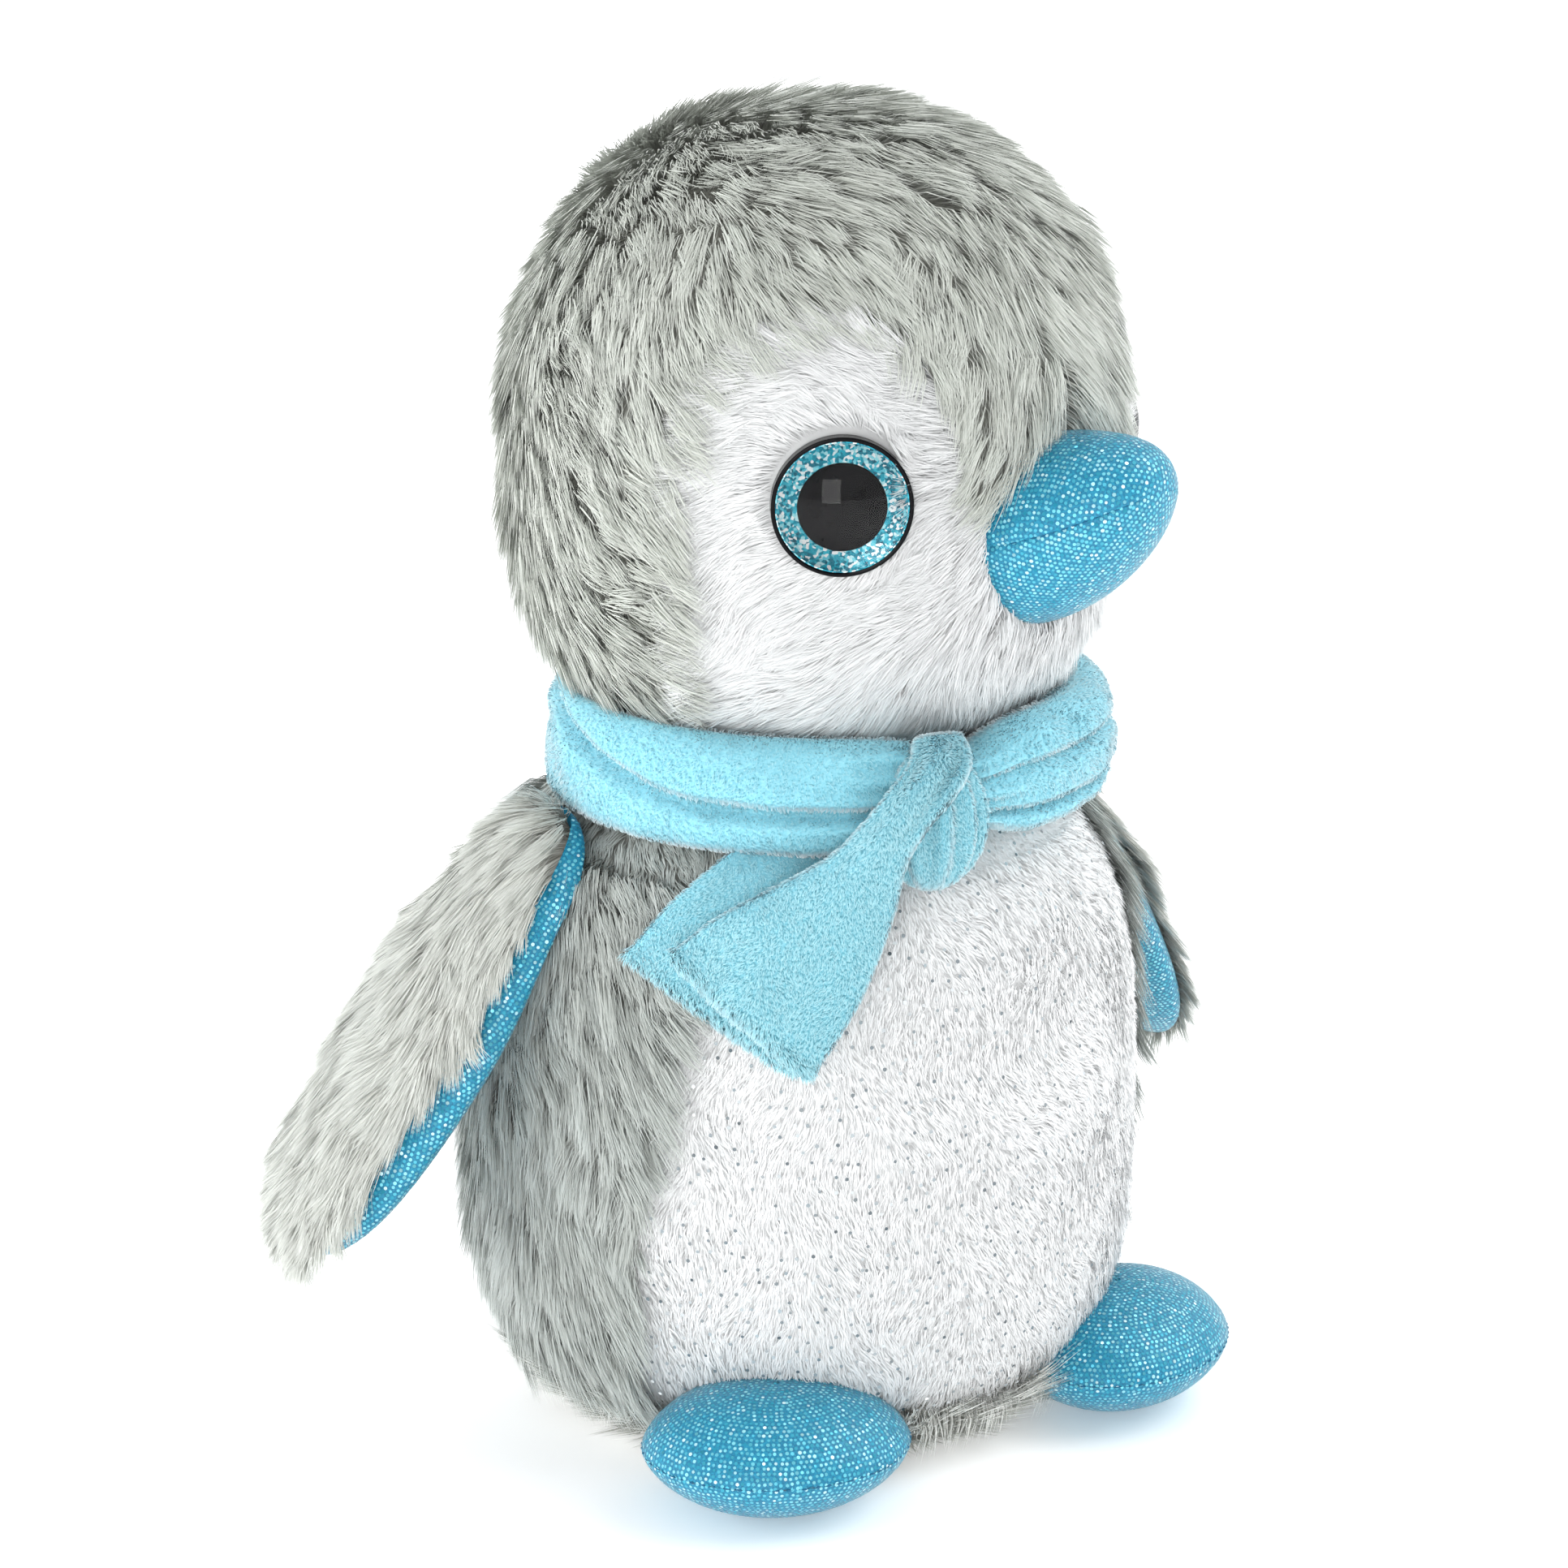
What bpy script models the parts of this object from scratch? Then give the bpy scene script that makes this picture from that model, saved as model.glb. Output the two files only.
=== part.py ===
"""A seated plush penguin with a scarf, sewn from fabric panels over stuffing.

Lengths below are in millimetres; make_object() turns them into metres. The toy sits on z = 0 and
faces -Y. Its left side is +X. Angles are in degrees: an azimuth runs from the front (-Y) towards +X,
and an elevation runs from the equator of a round form towards its top.
"""
import math

import bmesh
import bpy
from mathutils import Matrix, Vector

MM = 0.001                     # one millimetre in metres
SEAM_GAP = 0.3                 # open width of a sewn seam between two panels
FIT_GAP = 1.1                  # clearance between a panel and the stuffing behind it
CUT_PAST = 3.0                 # how far a cutter reaches past the cloth it goes through

# The whole toy
BODY_Y = 7.87                  # body axis, so that the toy's box is centred on the origin
NECK_RADIUS = 30.0
NECK_HEIGHT = 129.0            # plane where head and body meet
NECK_BLEND = 8.0               # how sharply a round form turns into the neck

# Body, a round form that is squarer at the shoulders and round its weighted bottom
BODY = {"radius": 60.4, "middle": 62.5, "top": 67.5, "bottom": 64.5,
        "square_top": 2.6, "square_bottom": 3.0, "neck_side": 1, "y": 0.0}
FUR_PANEL = 4.0                # cloth and pile of the long grey fur
SHORT_PANEL = 3.0              # cloth and pile of the short white fur
SHORT_STEP = 0.6               # how far the white fur's face lies below the grey fur's
BASE_SEAM_HEIGHT = 14.5        # seam between the base and the sides
BASE_GAP_ANGLE = 0.3           # half the gap at that seam, as an elevation angle
BACK_GAP = 1.3 * SEAM_GAP      # gap at the slanting belly seam, measured level
# Seam between belly and back, as pairs of height and azimuth
BELLY_SEAM = ((14.0, 69.5), (34.0, 67.0), (50.0, 65.5), (74.0, 60.8), (89.0, 58.5), (129.0, 50.0))

# Bean bag in the bottom of the body
BAG = {"radius": 33.0, "middle": 13.0, "top": 12.0, "bottom": 8.5,
       "square_top": 2.4, "square_bottom": 2.6, "neck_side": 0, "y": 0.0}
BAG_CLOTH = 0.8

# Head, turned to the toy's left
HEAD = {"radius": 54.0, "middle": 182.3, "top": 56.5, "bottom": 56.5,
        "square_top": 2.0, "square_bottom": 2.7, "neck_side": -1, "y": 0.0}
HEAD_Y = -3.7                  # head axis, ahead of the body axis
HEAD_TURN = 15.0
FACE_AZIMUTH = 50.0            # middle of the round white patch behind each eye
FACE_RADIUS = 29.5
FACE_SIDE_SPREAD = 4.5         # how far the white panel widens from the patch down to the neck
FACE_PEAK_BOTTOM = -12.0       # where the grey peak of the forehead ends, behind the beak
FACE_GAP_ANGLE = 0.35          # gap round the white panel, as an angle

# Beak
BEAK_START, BEAK_END = 44.0, 74.5
BEAK_START_DROP, BEAK_END_DROP = -11.5, -0.8
BEAK_SIDE, BEAK_UP = 18.3, 17.2
BEAK_SQUARE = 2.15
BEAK_CURL = 1.6
BEAK_CLOTH = 1.2

# Safety eyes
EYE_AZIMUTH, EYE_ELEVATION = 47.0, -0.4
EYE_RADIUS = 12.0
EYE_SINK = 2.6                 # how far the flange presses the pile down
EYE_SEAT = 0.4                 # gap between the eye's flange and the cloth under it
EYE_FLANGE = 1.4
EYE_RIM = 0.7
EYE_POCKET = 1.9               # depth of the cup over its flange
PUPIL_RADIUS = 7.3
DISC_THICKNESS = 0.5
LENS_EDGE = 0.6                # straight rim under the dome
LENS_HEIGHT = 3.8
STEM_RADIUS = 2.4
STEM_LENGTH = 12.0
WASHER_RADIUS = 8.5
WASHER_DEPTH = 2.4             # how far the washer's outer face lies behind the eye's seat
WASHER_THICKNESS = 1.5

# Wings
SHOULDER = (51.3, 5.0, 113.5)
WING_TIP = (98.0, 19.0, 42.0)
WING_HALF_WIDTH = 19.0
WING_OUTER_HALF, WING_INNER_HALF = 7.0, 7.0
WING_BLUNTNESS = 6.0
WING_FRONT_SEAM, WING_REAR_SEAM = 38.0, 180.0
WING_SEAM_GAP = 2.6            # gap between the two cloths, as an angle round the wing
# Width, thickness and length of an inner form, as shares of the wing's outer form
WING_CLOTH_SCALE = (0.9, 0.74, 0.965)
WING_STUFFING_SCALE = (0.86, 0.6, 0.94)
WING_ROWS = (0.0, 0.14, 0.3, 0.46, 0.62, 0.76, 0.87, 0.94, 0.98, 0.997)

# Feet
FOOT_CENTRE = (39.0, -44.6)
FOOT_SPLAY = 24.5
FOOT = {"radius": 22.0, "middle": 11.6, "top": 11.4, "bottom": 12.6,
        "square_top": 2.3, "square_bottom": 2.3, "neck_side": 0, "y": 0.0}
FOOT_WIDTH_SCALE, FOOT_LENGTH_SCALE = 24.0 / 22.0, 20.0 / 22.0
FOOT_HINGE_BACK, FOOT_HINGE_HEIGHT = 7.0, 17.0
FOOT_LIFT = 25.0               # highest lift of the toes, which the rear of the foot leaves room for
FOOT_CLOTH = 1.5

# Scarf. Each point of the band's section is a radius, a height and how far forward its circle lies.
BAND_SECTION = ((44.2, 137.4, 3.7), (39.8, 132.6, 3.7), (40.0, 127.0, 3.0), (42.6, 121.6, 1.2),
                (44.6, 118.6, 1.0), (47.6, 117.8, 4.0), (50.0, 120.4, 7.5), (50.8, 125.0, 7.8),
                (50.6, 130.5, 7.8), (49.4, 135.6, 7.0), (47.0, 138.4, 5.0))
KNOT_AZIMUTH = -13.5
KNOT_HALF_SIZE = (9.0, 8.6, 12.5)
KNOT_CENTRE_RADIUS, KNOT_HEIGHT = 55.5, 124.8
BAND_OPENING = 12.4            # half the angle that the band leaves free for the knot
TAIL_CLOTH = 3.0
TAIL_AXIS_AZIMUTH, TAIL_AXIS_HEIGHT, TAIL_AXIS_RADIUS = -16.0, 116.0, 62.5
# Edges of a tail as azimuths and heights from the knot to its end, and its lift off the body at
# the knot and at the end
FRONT_TAIL = {"left": ((-27.0, 109.4), (-43.0, 107.4), (-58.6, 100.4)),
              "right": ((-15.5, 107.2), (-25.0, 96.4), (-34.8, 82.4)), "lift": (8.6, 5.0)}
REAR_TAIL = {"left": ((-31.0, 112.6), (-52.0, 111.6), (-66.5, 98.6)),
             "right": ((-18.0, 110.6), (-27.0, 98.0), (-38.4, 83.8)), "lift": (1.2, 1.2)}

# Facets of the solids
RING_FACETS = 20               # full turn of a stuffing, bag or foot piece
BASE_FACETS = 28
SHORT_RING_FACETS = 14         # full turn of a wing's or the beak's stuffing
TURNED_FACETS = 20             # full turn of an eye's pieces
BELLY_COLUMNS, BACK_COLUMNS = 12, 10
CROWN_COLUMNS, FACE_COLUMNS = 14, 6
WING_OUTER_COLUMNS, WING_INNER_COLUMNS = 8, 9
BEAK_COLUMNS = 10
BAND_COLUMNS = 30

COLOURS = {
    "grey_fur": ((0.50, 0.47, 0.44), 0.95), "white_fur": ((0.88, 0.88, 0.87), 0.95),
    "sparkle": ((0.10, 0.46, 0.66), 0.45), "scarf": ((0.40, 0.76, 0.86), 0.9),
    "stuffing": ((0.93, 0.93, 0.92), 1.0), "bag_cloth": ((0.90, 0.88, 0.84), 0.9),
    "pellets": ((0.85, 0.85, 0.82), 0.5), "black_plastic": ((0.012, 0.012, 0.014), 0.25),
    "glitter": ((0.02, 0.42, 0.52), 0.3), "clear_plastic": ((0.90, 0.95, 0.96), 0.05),
    "washer_plastic": ((0.90, 0.90, 0.88), 0.4),
}


def unit(azimuth, elevation=0.0):
    """Direction for an azimuth from the front and an elevation, both in degrees."""
    turn, rise = math.radians(azimuth), math.radians(elevation)
    return Vector((math.sin(turn) * math.cos(rise), -math.cos(turn) * math.cos(rise), math.sin(rise)))


def blend_steps(points, position):
    """Value at a position along pairs of (position, value), straight between them."""
    for (start, low), (end, high) in zip(points, points[1:]):
        if position <= end:
            share = max(0.0, (position - start) / (end - start))
            return low + (high - low) * share
    return points[-1][1]


def outline(form, angle):
    """Radius and height of a round form's outline at an elevation angle."""
    across, up = math.cos(math.radians(angle)), math.sin(math.radians(angle))
    power = 2.0 / (form["square_top"] if up > 0 else form["square_bottom"])
    reach = form["top"] if up > 0 else form["bottom"]
    radius = form["radius"] * math.copysign(abs(across) ** power, across)
    height = form["middle"] + reach * math.copysign(abs(up) ** power, up)
    if up * form["neck_side"] > 0:
        radius = (abs(radius) ** NECK_BLEND + NECK_RADIUS ** NECK_BLEND) ** (1.0 / NECK_BLEND)
    return radius, max(height, 0.0)


def form_point(form, azimuth, angle, depth):
    """Point at a depth below the surface of a round form."""
    below, above = outline(form, angle - 1.0), outline(form, angle + 1.0)
    out, rise = above[1] - below[1], above[0] - below[0]
    length = math.hypot(out, rise)
    radius, height = outline(form, angle)
    radius -= depth * out / length
    height += depth * rise / length
    return unit(azimuth) * radius + Vector((0.0, form["y"], height))


def angle_at_height(form, height):
    """Elevation angle at which a round form's outline reaches a height."""
    up = height > form["middle"]
    share = abs(height - form["middle"]) / (form["top"] if up else form["bottom"])
    angle = math.degrees(math.asin(share ** ((form["square_top"] if up else form["square_bottom"]) / 2)))
    return angle if up else -angle


# Elevation angle of the head where it meets the body
HEAD_NECK_ANGLE = angle_at_height(HEAD, NECK_HEIGHT + SEAM_GAP / 2)


def steps(start, end, count):
    """Evenly spaced values from start to end, both included."""
    return [start + (end - start) * index / count for index in range(count + 1)]


def material(kind):
    """Shared material of one kind."""
    found = bpy.data.materials.get(kind)
    return found if found else new_material(kind, *COLOURS[kind])


def new_material(name, colour, roughness):
    """Plain material of one colour."""
    made = bpy.data.materials.new(name)
    made.use_nodes = True
    shader = made.node_tree.nodes["Principled BSDF"]
    shader.inputs["Base Color"].default_value = (*colour, 1.0)
    shader.inputs["Roughness"].default_value = roughness
    shader.inputs["Metallic"].default_value = 0.0
    return made


def pivot(name, place, parent=None, turn=0.0):
    """Empty on a joint's axis, which carries the pieces that move with it."""
    empty = bpy.data.objects.new(name, None)
    empty.empty_display_size = 0.02
    empty.location = Vector(place) * MM
    empty.rotation_euler.z = math.radians(turn)
    empty.parent = parent
    bpy.context.collection.objects.link(empty)
    return empty


def make_object(name, bm, parent, kind, origin=(0.0, 0.0, 0.0)):
    """Object from a bmesh in millimetres, whose own origin is the parent's place."""
    bmesh.ops.remove_doubles(bm, verts=bm.verts, dist=0.001)
    bmesh.ops.dissolve_degenerate(bm, dist=0.0005, edges=bm.edges)
    bmesh.ops.translate(bm, verts=bm.verts, vec=-Vector(origin))
    bmesh.ops.scale(bm, verts=bm.verts, vec=(MM, MM, MM))
    bmesh.ops.recalc_face_normals(bm, faces=bm.faces)
    mesh = bpy.data.meshes.new(name)
    bm.to_mesh(mesh)
    bm.free()
    mesh.shade_smooth()
    mesh.set_sharp_from_angle(angle=math.radians(40))
    made = bpy.data.objects.new(name, mesh)
    made.parent = parent
    bpy.context.collection.objects.link(made)
    if kind:
        mesh.materials.append(material(kind))
    else:
        made.hide_render = True
        made.display_type = "WIRE"
    return made


def cut(target, cutter):
    """Take the cutter's space out of the target."""
    modifier = target.modifiers.new("cut_" + cutter.name, "BOOLEAN")
    modifier.operation = "DIFFERENCE"
    modifier.solver = "EXACT"
    modifier.object = cutter


def add_sheet(bm, rows, closed):
    """Quads between rows of points; returns the rows of vertices."""
    grid = [[bm.verts.new(point) for point in row] for row in rows]
    width = len(grid[0])
    for lower, upper in zip(grid, grid[1:]):
        for column in range(width if closed else width - 1):
            after = (column + 1) % width
            bm.faces.new((lower[column], lower[after], upper[after], upper[column]))
    return grid


def join_rims(bm, first, second, closed):
    """Quads between two lines of vertices."""
    width = len(first)
    for column in range(width if closed else width - 1):
        after = (column + 1) % width
        bm.faces.new((first[column], first[after], second[after], second[column]))


def shell_mesh(outer_rows, inner_rows, closed=False):
    """Closed thin shell between an outer and an inner sheet of points."""
    bm = bmesh.new()
    outer = add_sheet(bm, outer_rows, closed)
    inner = add_sheet(bm, inner_rows, closed)
    for end in (0, -1):
        join_rims(bm, outer[end], inner[end], closed)
        if not closed:
            join_rims(bm, [row[end] for row in outer], [row[end] for row in inner], False)
    return bm


def solid_mesh(rows):
    """Closed solid of stacked rings, capped at both ends."""
    bm = bmesh.new()
    grid = add_sheet(bm, rows, True)
    for end in (0, -1):
        ring = grid[end]
        middle = bm.verts.new(sum((vertex.co for vertex in ring), Vector()) / len(ring))
        for first, second in zip(ring, ring[1:] + ring[:1]):
            bm.faces.new((first, second, middle))
    return bm


def form_rows(form, angles, depth, columns):
    """Full rings of a round form, one for each elevation angle."""
    azimuths = steps(0.0, 360.0, columns)[:-1]
    return [[form_point(form, azimuth, angle, depth) for azimuth in azimuths] for angle in angles]


def panel_rows(form, angles, edges, depth, columns, side=0):
    """Rows of a panel between two edges; a side of 1 or -1 keeps it off the centre plane."""
    rows = []
    for angle in angles:
        row = []
        for azimuth in steps(*edges(angle), columns):
            point = form_point(form, azimuth, angle, depth)
            if side:
                point.x = side * max(side * point.x, SEAM_GAP / 2)
            row.append(point)
        rows.append(row)
    return rows


def belly_edge(angle):
    """Azimuth of the seam between the belly and the back at an elevation angle."""
    return blend_steps(BELLY_SEAM, outline(BODY, angle)[1])


def build_body(root):
    """Cloth panels, stuffing and bean bag of the body."""
    neck_angle = angle_at_height(BODY, NECK_HEIGHT - SEAM_GAP / 2)
    base_angle = angle_at_height(BODY, BASE_SEAM_HEIGHT)
    angles = steps(base_angle + BASE_GAP_ANGLE, 10.0, 5) + steps(10.0, neck_angle, 6)[1:]

    def belly_edges(angle):
        return -belly_edge(angle), belly_edge(angle)

    belly = shell_mesh(panel_rows(BODY, angles, belly_edges, SHORT_STEP, BELLY_COLUMNS),
                       panel_rows(BODY, angles, belly_edges, SHORT_STEP + SHORT_PANEL, BELLY_COLUMNS))
    make_object("belly_panel", belly, root, "white_fur")

    for side, name in ((1, "body_panel_left"), (-1, "body_panel_right")):
        def back_edges(angle, side=side):
            gap = math.degrees(BACK_GAP / outline(BODY, angle)[0])
            return side * (belly_edge(angle) + gap), side * 180.0

        back = shell_mesh(panel_rows(BODY, angles, back_edges, 0.0, BACK_COLUMNS, side),
                          panel_rows(BODY, angles, back_edges, FUR_PANEL, BACK_COLUMNS, side))
        make_object(name, back, root, "grey_fur")

    base_angles = [-90.0, -72.6] + steps(-62.0, base_angle - BASE_GAP_ANGLE, 2)
    base = shell_mesh(form_rows(BODY, base_angles, 0.0, BASE_FACETS),
                      form_rows(BODY, base_angles, SHORT_PANEL, BASE_FACETS), closed=True)
    make_object("base_panel", base, root, "grey_fur")

    depth = FUR_PANEL + FIT_GAP
    stuffing_angles = steps(-64.0, neck_angle - 1.5, 9)
    fill = solid_mesh(form_rows(BODY, stuffing_angles, depth, RING_FACETS))
    stuffing = make_object("body_stuffing", fill, root, "stuffing")
    recess_rows = form_rows(BAG, steps(90.0, 0.0, 4), -FIT_GAP, RING_FACETS)
    foot_of_recess = [point - Vector((0.0, 0.0, 20.0)) for point in recess_rows[-1]]
    recess = make_object("cutter_bean_bag", solid_mesh(recess_rows + [foot_of_recess]), root, None)
    cut(stuffing, recess)

    halves = {"bean_bag_top": steps(1.5, 90.0, 3), "bean_bag_bottom": steps(-90.0, -1.5, 3)}
    for name, angles in halves.items():
        bag = shell_mesh(form_rows(BAG, angles, 0.0, RING_FACETS),
                         form_rows(BAG, angles, BAG_CLOTH, RING_FACETS), closed=True)
        make_object(name, bag, root, "bag_cloth")
    pellets = solid_mesh(form_rows(BAG, steps(-88.0, 88.0, 6), BAG_CLOTH + 0.5, RING_FACETS))
    make_object("bean_pellets", pellets, root, "pellets")


def face_edges(angle, inset):
    """Inner and outer azimuth of the white face panel at an elevation angle."""
    radius = FACE_RADIUS - inset
    if angle > 0:
        half = math.sqrt(max(radius ** 2 - angle ** 2, 0.0))
        return FACE_AZIMUTH - half, FACE_AZIMUTH + half
    inner = blend_steps(((FACE_PEAK_BOTTOM, 0.0), (0.0, FACE_AZIMUTH - FACE_RADIUS)), angle)
    spread = FACE_SIDE_SPREAD * angle / HEAD_NECK_ANGLE
    return inner + inset * (inner > 0), FACE_AZIMUTH + radius + spread


def face_angles(bottom, top):
    """Elevation angles of a white face panel's rows, closer together near its rounded top."""
    lower = steps(bottom, FACE_PEAK_BOTTOM, 5) + steps(FACE_PEAK_BOTTOM, 0.0, 2)[1:]
    return lower + [top * math.sin(math.radians(rise)) for rise in (14, 28, 42, 56, 70, 82)]


def build_head(neck):
    """Cloth panels, stuffing, beak and eyes of the head."""
    shift = Vector((0.0, 0.0, NECK_HEIGHT))
    faces = {}
    for side, label in ((1, "left"), (-1, "right")):
        def white_edges(angle, side=side):
            inner, outer = face_edges(angle, FACE_GAP_ANGLE)
            return side * inner, side * outer

        angles = face_angles(HEAD_NECK_ANGLE, FACE_RADIUS - FACE_GAP_ANGLE)
        back = SHORT_STEP + SHORT_PANEL
        white = shell_mesh(panel_rows(HEAD, angles, white_edges, SHORT_STEP, FACE_COLUMNS, side),
                           panel_rows(HEAD, angles, white_edges, back, FACE_COLUMNS, side))
        faces[label] = make_object("face_" + label, white, neck, "white_fur", shift)

        def grey_edges(angle, side=side):
            return 0.0, side * 180.0

        angles = steps(HEAD_NECK_ANGLE, 90.0, 11)
        grey = shell_mesh(panel_rows(HEAD, angles, grey_edges, 0.0, CROWN_COLUMNS, side),
                          panel_rows(HEAD, angles, grey_edges, FUR_PANEL, CROWN_COLUMNS, side))
        crown = make_object("crown_" + label, grey, neck, "grey_fur", shift)

        def window_edges(angle, side=side):
            inner, outer = face_edges(angle, 0.0)
            return side * (inner if inner > 0 else -CUT_PAST), side * outer

        angles = face_angles(HEAD_NECK_ANGLE - 4.0, FACE_RADIUS)
        window = shell_mesh(panel_rows(HEAD, angles, window_edges, -CUT_PAST, FACE_COLUMNS),
                            panel_rows(HEAD, angles, window_edges, FUR_PANEL + CUT_PAST, FACE_COLUMNS))
        cut(crown, make_object("cutter_face_" + label, window, neck, None, shift))

    depth = FUR_PANEL + FIT_GAP
    rows = form_rows(HEAD, steps(HEAD_NECK_ANGLE + 1.5, 88.0, 9), depth, RING_FACETS)
    stuffing = make_object("head_stuffing", solid_mesh(rows), neck, "stuffing", shift)
    build_beak(neck, shift)
    build_eyes(neck, shift, faces, stuffing)


def beak_point(share, around, depth):
    """Point of the beak at a share of its length and an angle around it, below its surface."""
    axial = BEAK_START + (BEAK_END - depth - BEAK_START) * share
    drop = BEAK_START_DROP + (BEAK_END_DROP - BEAK_START_DROP) * share ** BEAK_CURL
    size = max(1.0 - share ** BEAK_SQUARE, 0.0) ** (1.0 / BEAK_SQUARE)
    across = (BEAK_SIDE - depth) * size * math.cos(math.radians(around))
    up = (BEAK_UP - depth) * size * math.sin(math.radians(around))
    return Vector((across, -axial, HEAD["middle"] + drop + up))


def build_beak(neck, shift):
    """Two cloth halves of the beak and its stuffing, trimmed to the head's surface."""
    shares = [math.sin(math.radians(angle)) for angle in (0, 22, 40, 55, 68, 80, 90)]
    base = form_rows(HEAD, steps(-60.0, 60.0, 16), -0.5, 40)
    trim = make_object("cutter_head", solid_mesh(base), neck, None, shift)
    for name, sign in (("beak_upper", 1), ("beak_lower", -1)):
        arounds = steps(0.0, sign * 180.0, BEAK_COLUMNS)
        rows = []
        for depth in (0.0, BEAK_CLOTH):
            sheet = [[beak_point(share, around, depth) for around in arounds] for share in shares]
            for row in sheet:
                for point in row:
                    middle = HEAD["middle"] + seam_drop(-point.y)
                    point.z = middle + sign * max(sign * (point.z - middle), SEAM_GAP / 2)
            rows.append(sheet)
        half = make_object(name, shell_mesh(*rows), neck, "sparkle", shift)
        cut(half, trim)
    around = steps(0.0, 360.0, SHORT_RING_FACETS)[:-1]
    depth = BEAK_CLOTH + FIT_GAP
    rows = [[beak_point(share, angle, depth) for angle in around] for share in shares[:-1]]
    stuffing = make_object("beak_stuffing", solid_mesh(rows), neck, "stuffing", shift)
    cut(stuffing, trim)


def seam_drop(axial):
    """Height of the beak's side seam, relative to the head's middle."""
    share = min(max((axial - BEAK_START) / (BEAK_END - BEAK_START), 0.0), 1.0)
    return BEAK_START_DROP + (BEAK_END_DROP - BEAK_START_DROP) * share ** BEAK_CURL


def turned_mesh(section, place, columns=TURNED_FACETS):
    """Solid turned from a closed section of (radius, height) about a placed axis."""
    turned = []
    for radius, height in section:
        ring = [place @ Vector((radius * math.cos(angle), radius * math.sin(angle), height))
                for angle in (2.0 * math.pi * index / columns for index in range(columns))]
        turned.append(ring)
    bm = bmesh.new()
    grid = add_sheet(bm, turned, True)
    join_rims(bm, grid[0], grid[-1], True)
    return bm


def build_eyes(neck, shift, faces, stuffing):
    """Safety eyes: cup and stem, glitter ring, pupil, clear dome and the washer behind the cloth."""
    for side, label in ((1, "left"), (-1, "right")):
        seat = form_point(HEAD, side * EYE_AZIMUTH, EYE_ELEVATION, SHORT_STEP + EYE_SINK)
        out = unit(side * EYE_AZIMUTH, EYE_ELEVATION)
        place = Matrix.Translation(seat) @ out.to_track_quat("Z", "Y").to_matrix().to_4x4()
        floor = EYE_SEAT + EYE_FLANGE
        rim = floor + EYE_POCKET
        inside = EYE_RADIUS - EYE_RIM
        cup = ((0.0, -STEM_LENGTH), (STEM_RADIUS, -STEM_LENGTH), (STEM_RADIUS, EYE_SEAT),
               (EYE_RADIUS - 1.0, EYE_SEAT), (EYE_RADIUS, EYE_SEAT + 0.8), (EYE_RADIUS, rim),
               (inside, rim), (inside, floor), (0.0, floor))
        make_object("eye_backing_" + label, turned_mesh(cup, place), neck, "black_plastic", shift)
        low, high = floor + SEAM_GAP, floor + SEAM_GAP + DISC_THICKNESS
        pupil = ((0.0, low), (PUPIL_RADIUS, low), (PUPIL_RADIUS, high), (0.0, high))
        make_object("eye_pupil_" + label, turned_mesh(pupil, place), neck, "black_plastic", shift)
        inner, outer = PUPIL_RADIUS + SEAM_GAP, inside - SEAM_GAP
        ring = ((inner, low), (outer, low), (outer, high), (inner, high))
        make_object("eye_glitter_ring_" + label, turned_mesh(ring, place), neck, "glitter", shift)
        base = high + SEAM_GAP
        brow = base + LENS_EDGE
        rises = [math.radians(rise) for rise in (0, 22, 44, 66)]
        dome = [(outer * math.cos(rise), brow + LENS_HEIGHT * math.sin(rise)) for rise in rises]
        lens = [(0.0, base), (outer, base)] + dome + [(0.0, brow + LENS_HEIGHT)]
        make_object("eye_lens_" + label, turned_mesh(lens, place), neck, "clear_plastic", shift)
        top = -WASHER_DEPTH
        bottom = top - WASHER_THICKNESS
        hole = STEM_RADIUS + 0.2
        washer = ((hole, top), (WASHER_RADIUS, top), (WASHER_RADIUS, bottom), (hole, bottom))
        make_object("eye_washer_" + label, turned_mesh(washer, place), neck, "washer_plastic", shift)

        stem_hole = STEM_RADIUS + 0.4
        deep = -STEM_LENGTH - 1.0
        drill = ((0.0, deep), (stem_hole, deep), (stem_hole, CUT_PAST), (0.0, CUT_PAST))
        hole_cutter = make_object("cutter_stem_" + label, turned_mesh(drill, place), neck, None, shift)
        pocket = WASHER_RADIUS + 0.5
        deep = bottom - 0.5
        recess = ((0.0, deep), (pocket, deep), (pocket, CUT_PAST), (0.0, CUT_PAST))
        recess_cutter = make_object("cutter_washer_" + label, turned_mesh(recess, place), neck, None, shift)
        press = EYE_RADIUS + EYE_SEAT
        high = EYE_SINK + CUT_PAST
        pressed = ((0.0, 0.0), (press, 0.0), (press, high), (0.0, high))
        flange_cutter = make_object("cutter_press_" + label, turned_mesh(pressed, place), neck, None, shift)
        cut(faces[label], flange_cutter)
        cut(faces[label], hole_cutter)
        cut(stuffing, recess_cutter)
        cut(stuffing, hole_cutter)


def smooth(share):
    """Ease from 0 to 1."""
    share = min(max(share, 0.0), 1.0)
    return share * share * (3.0 - 2.0 * share)


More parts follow.
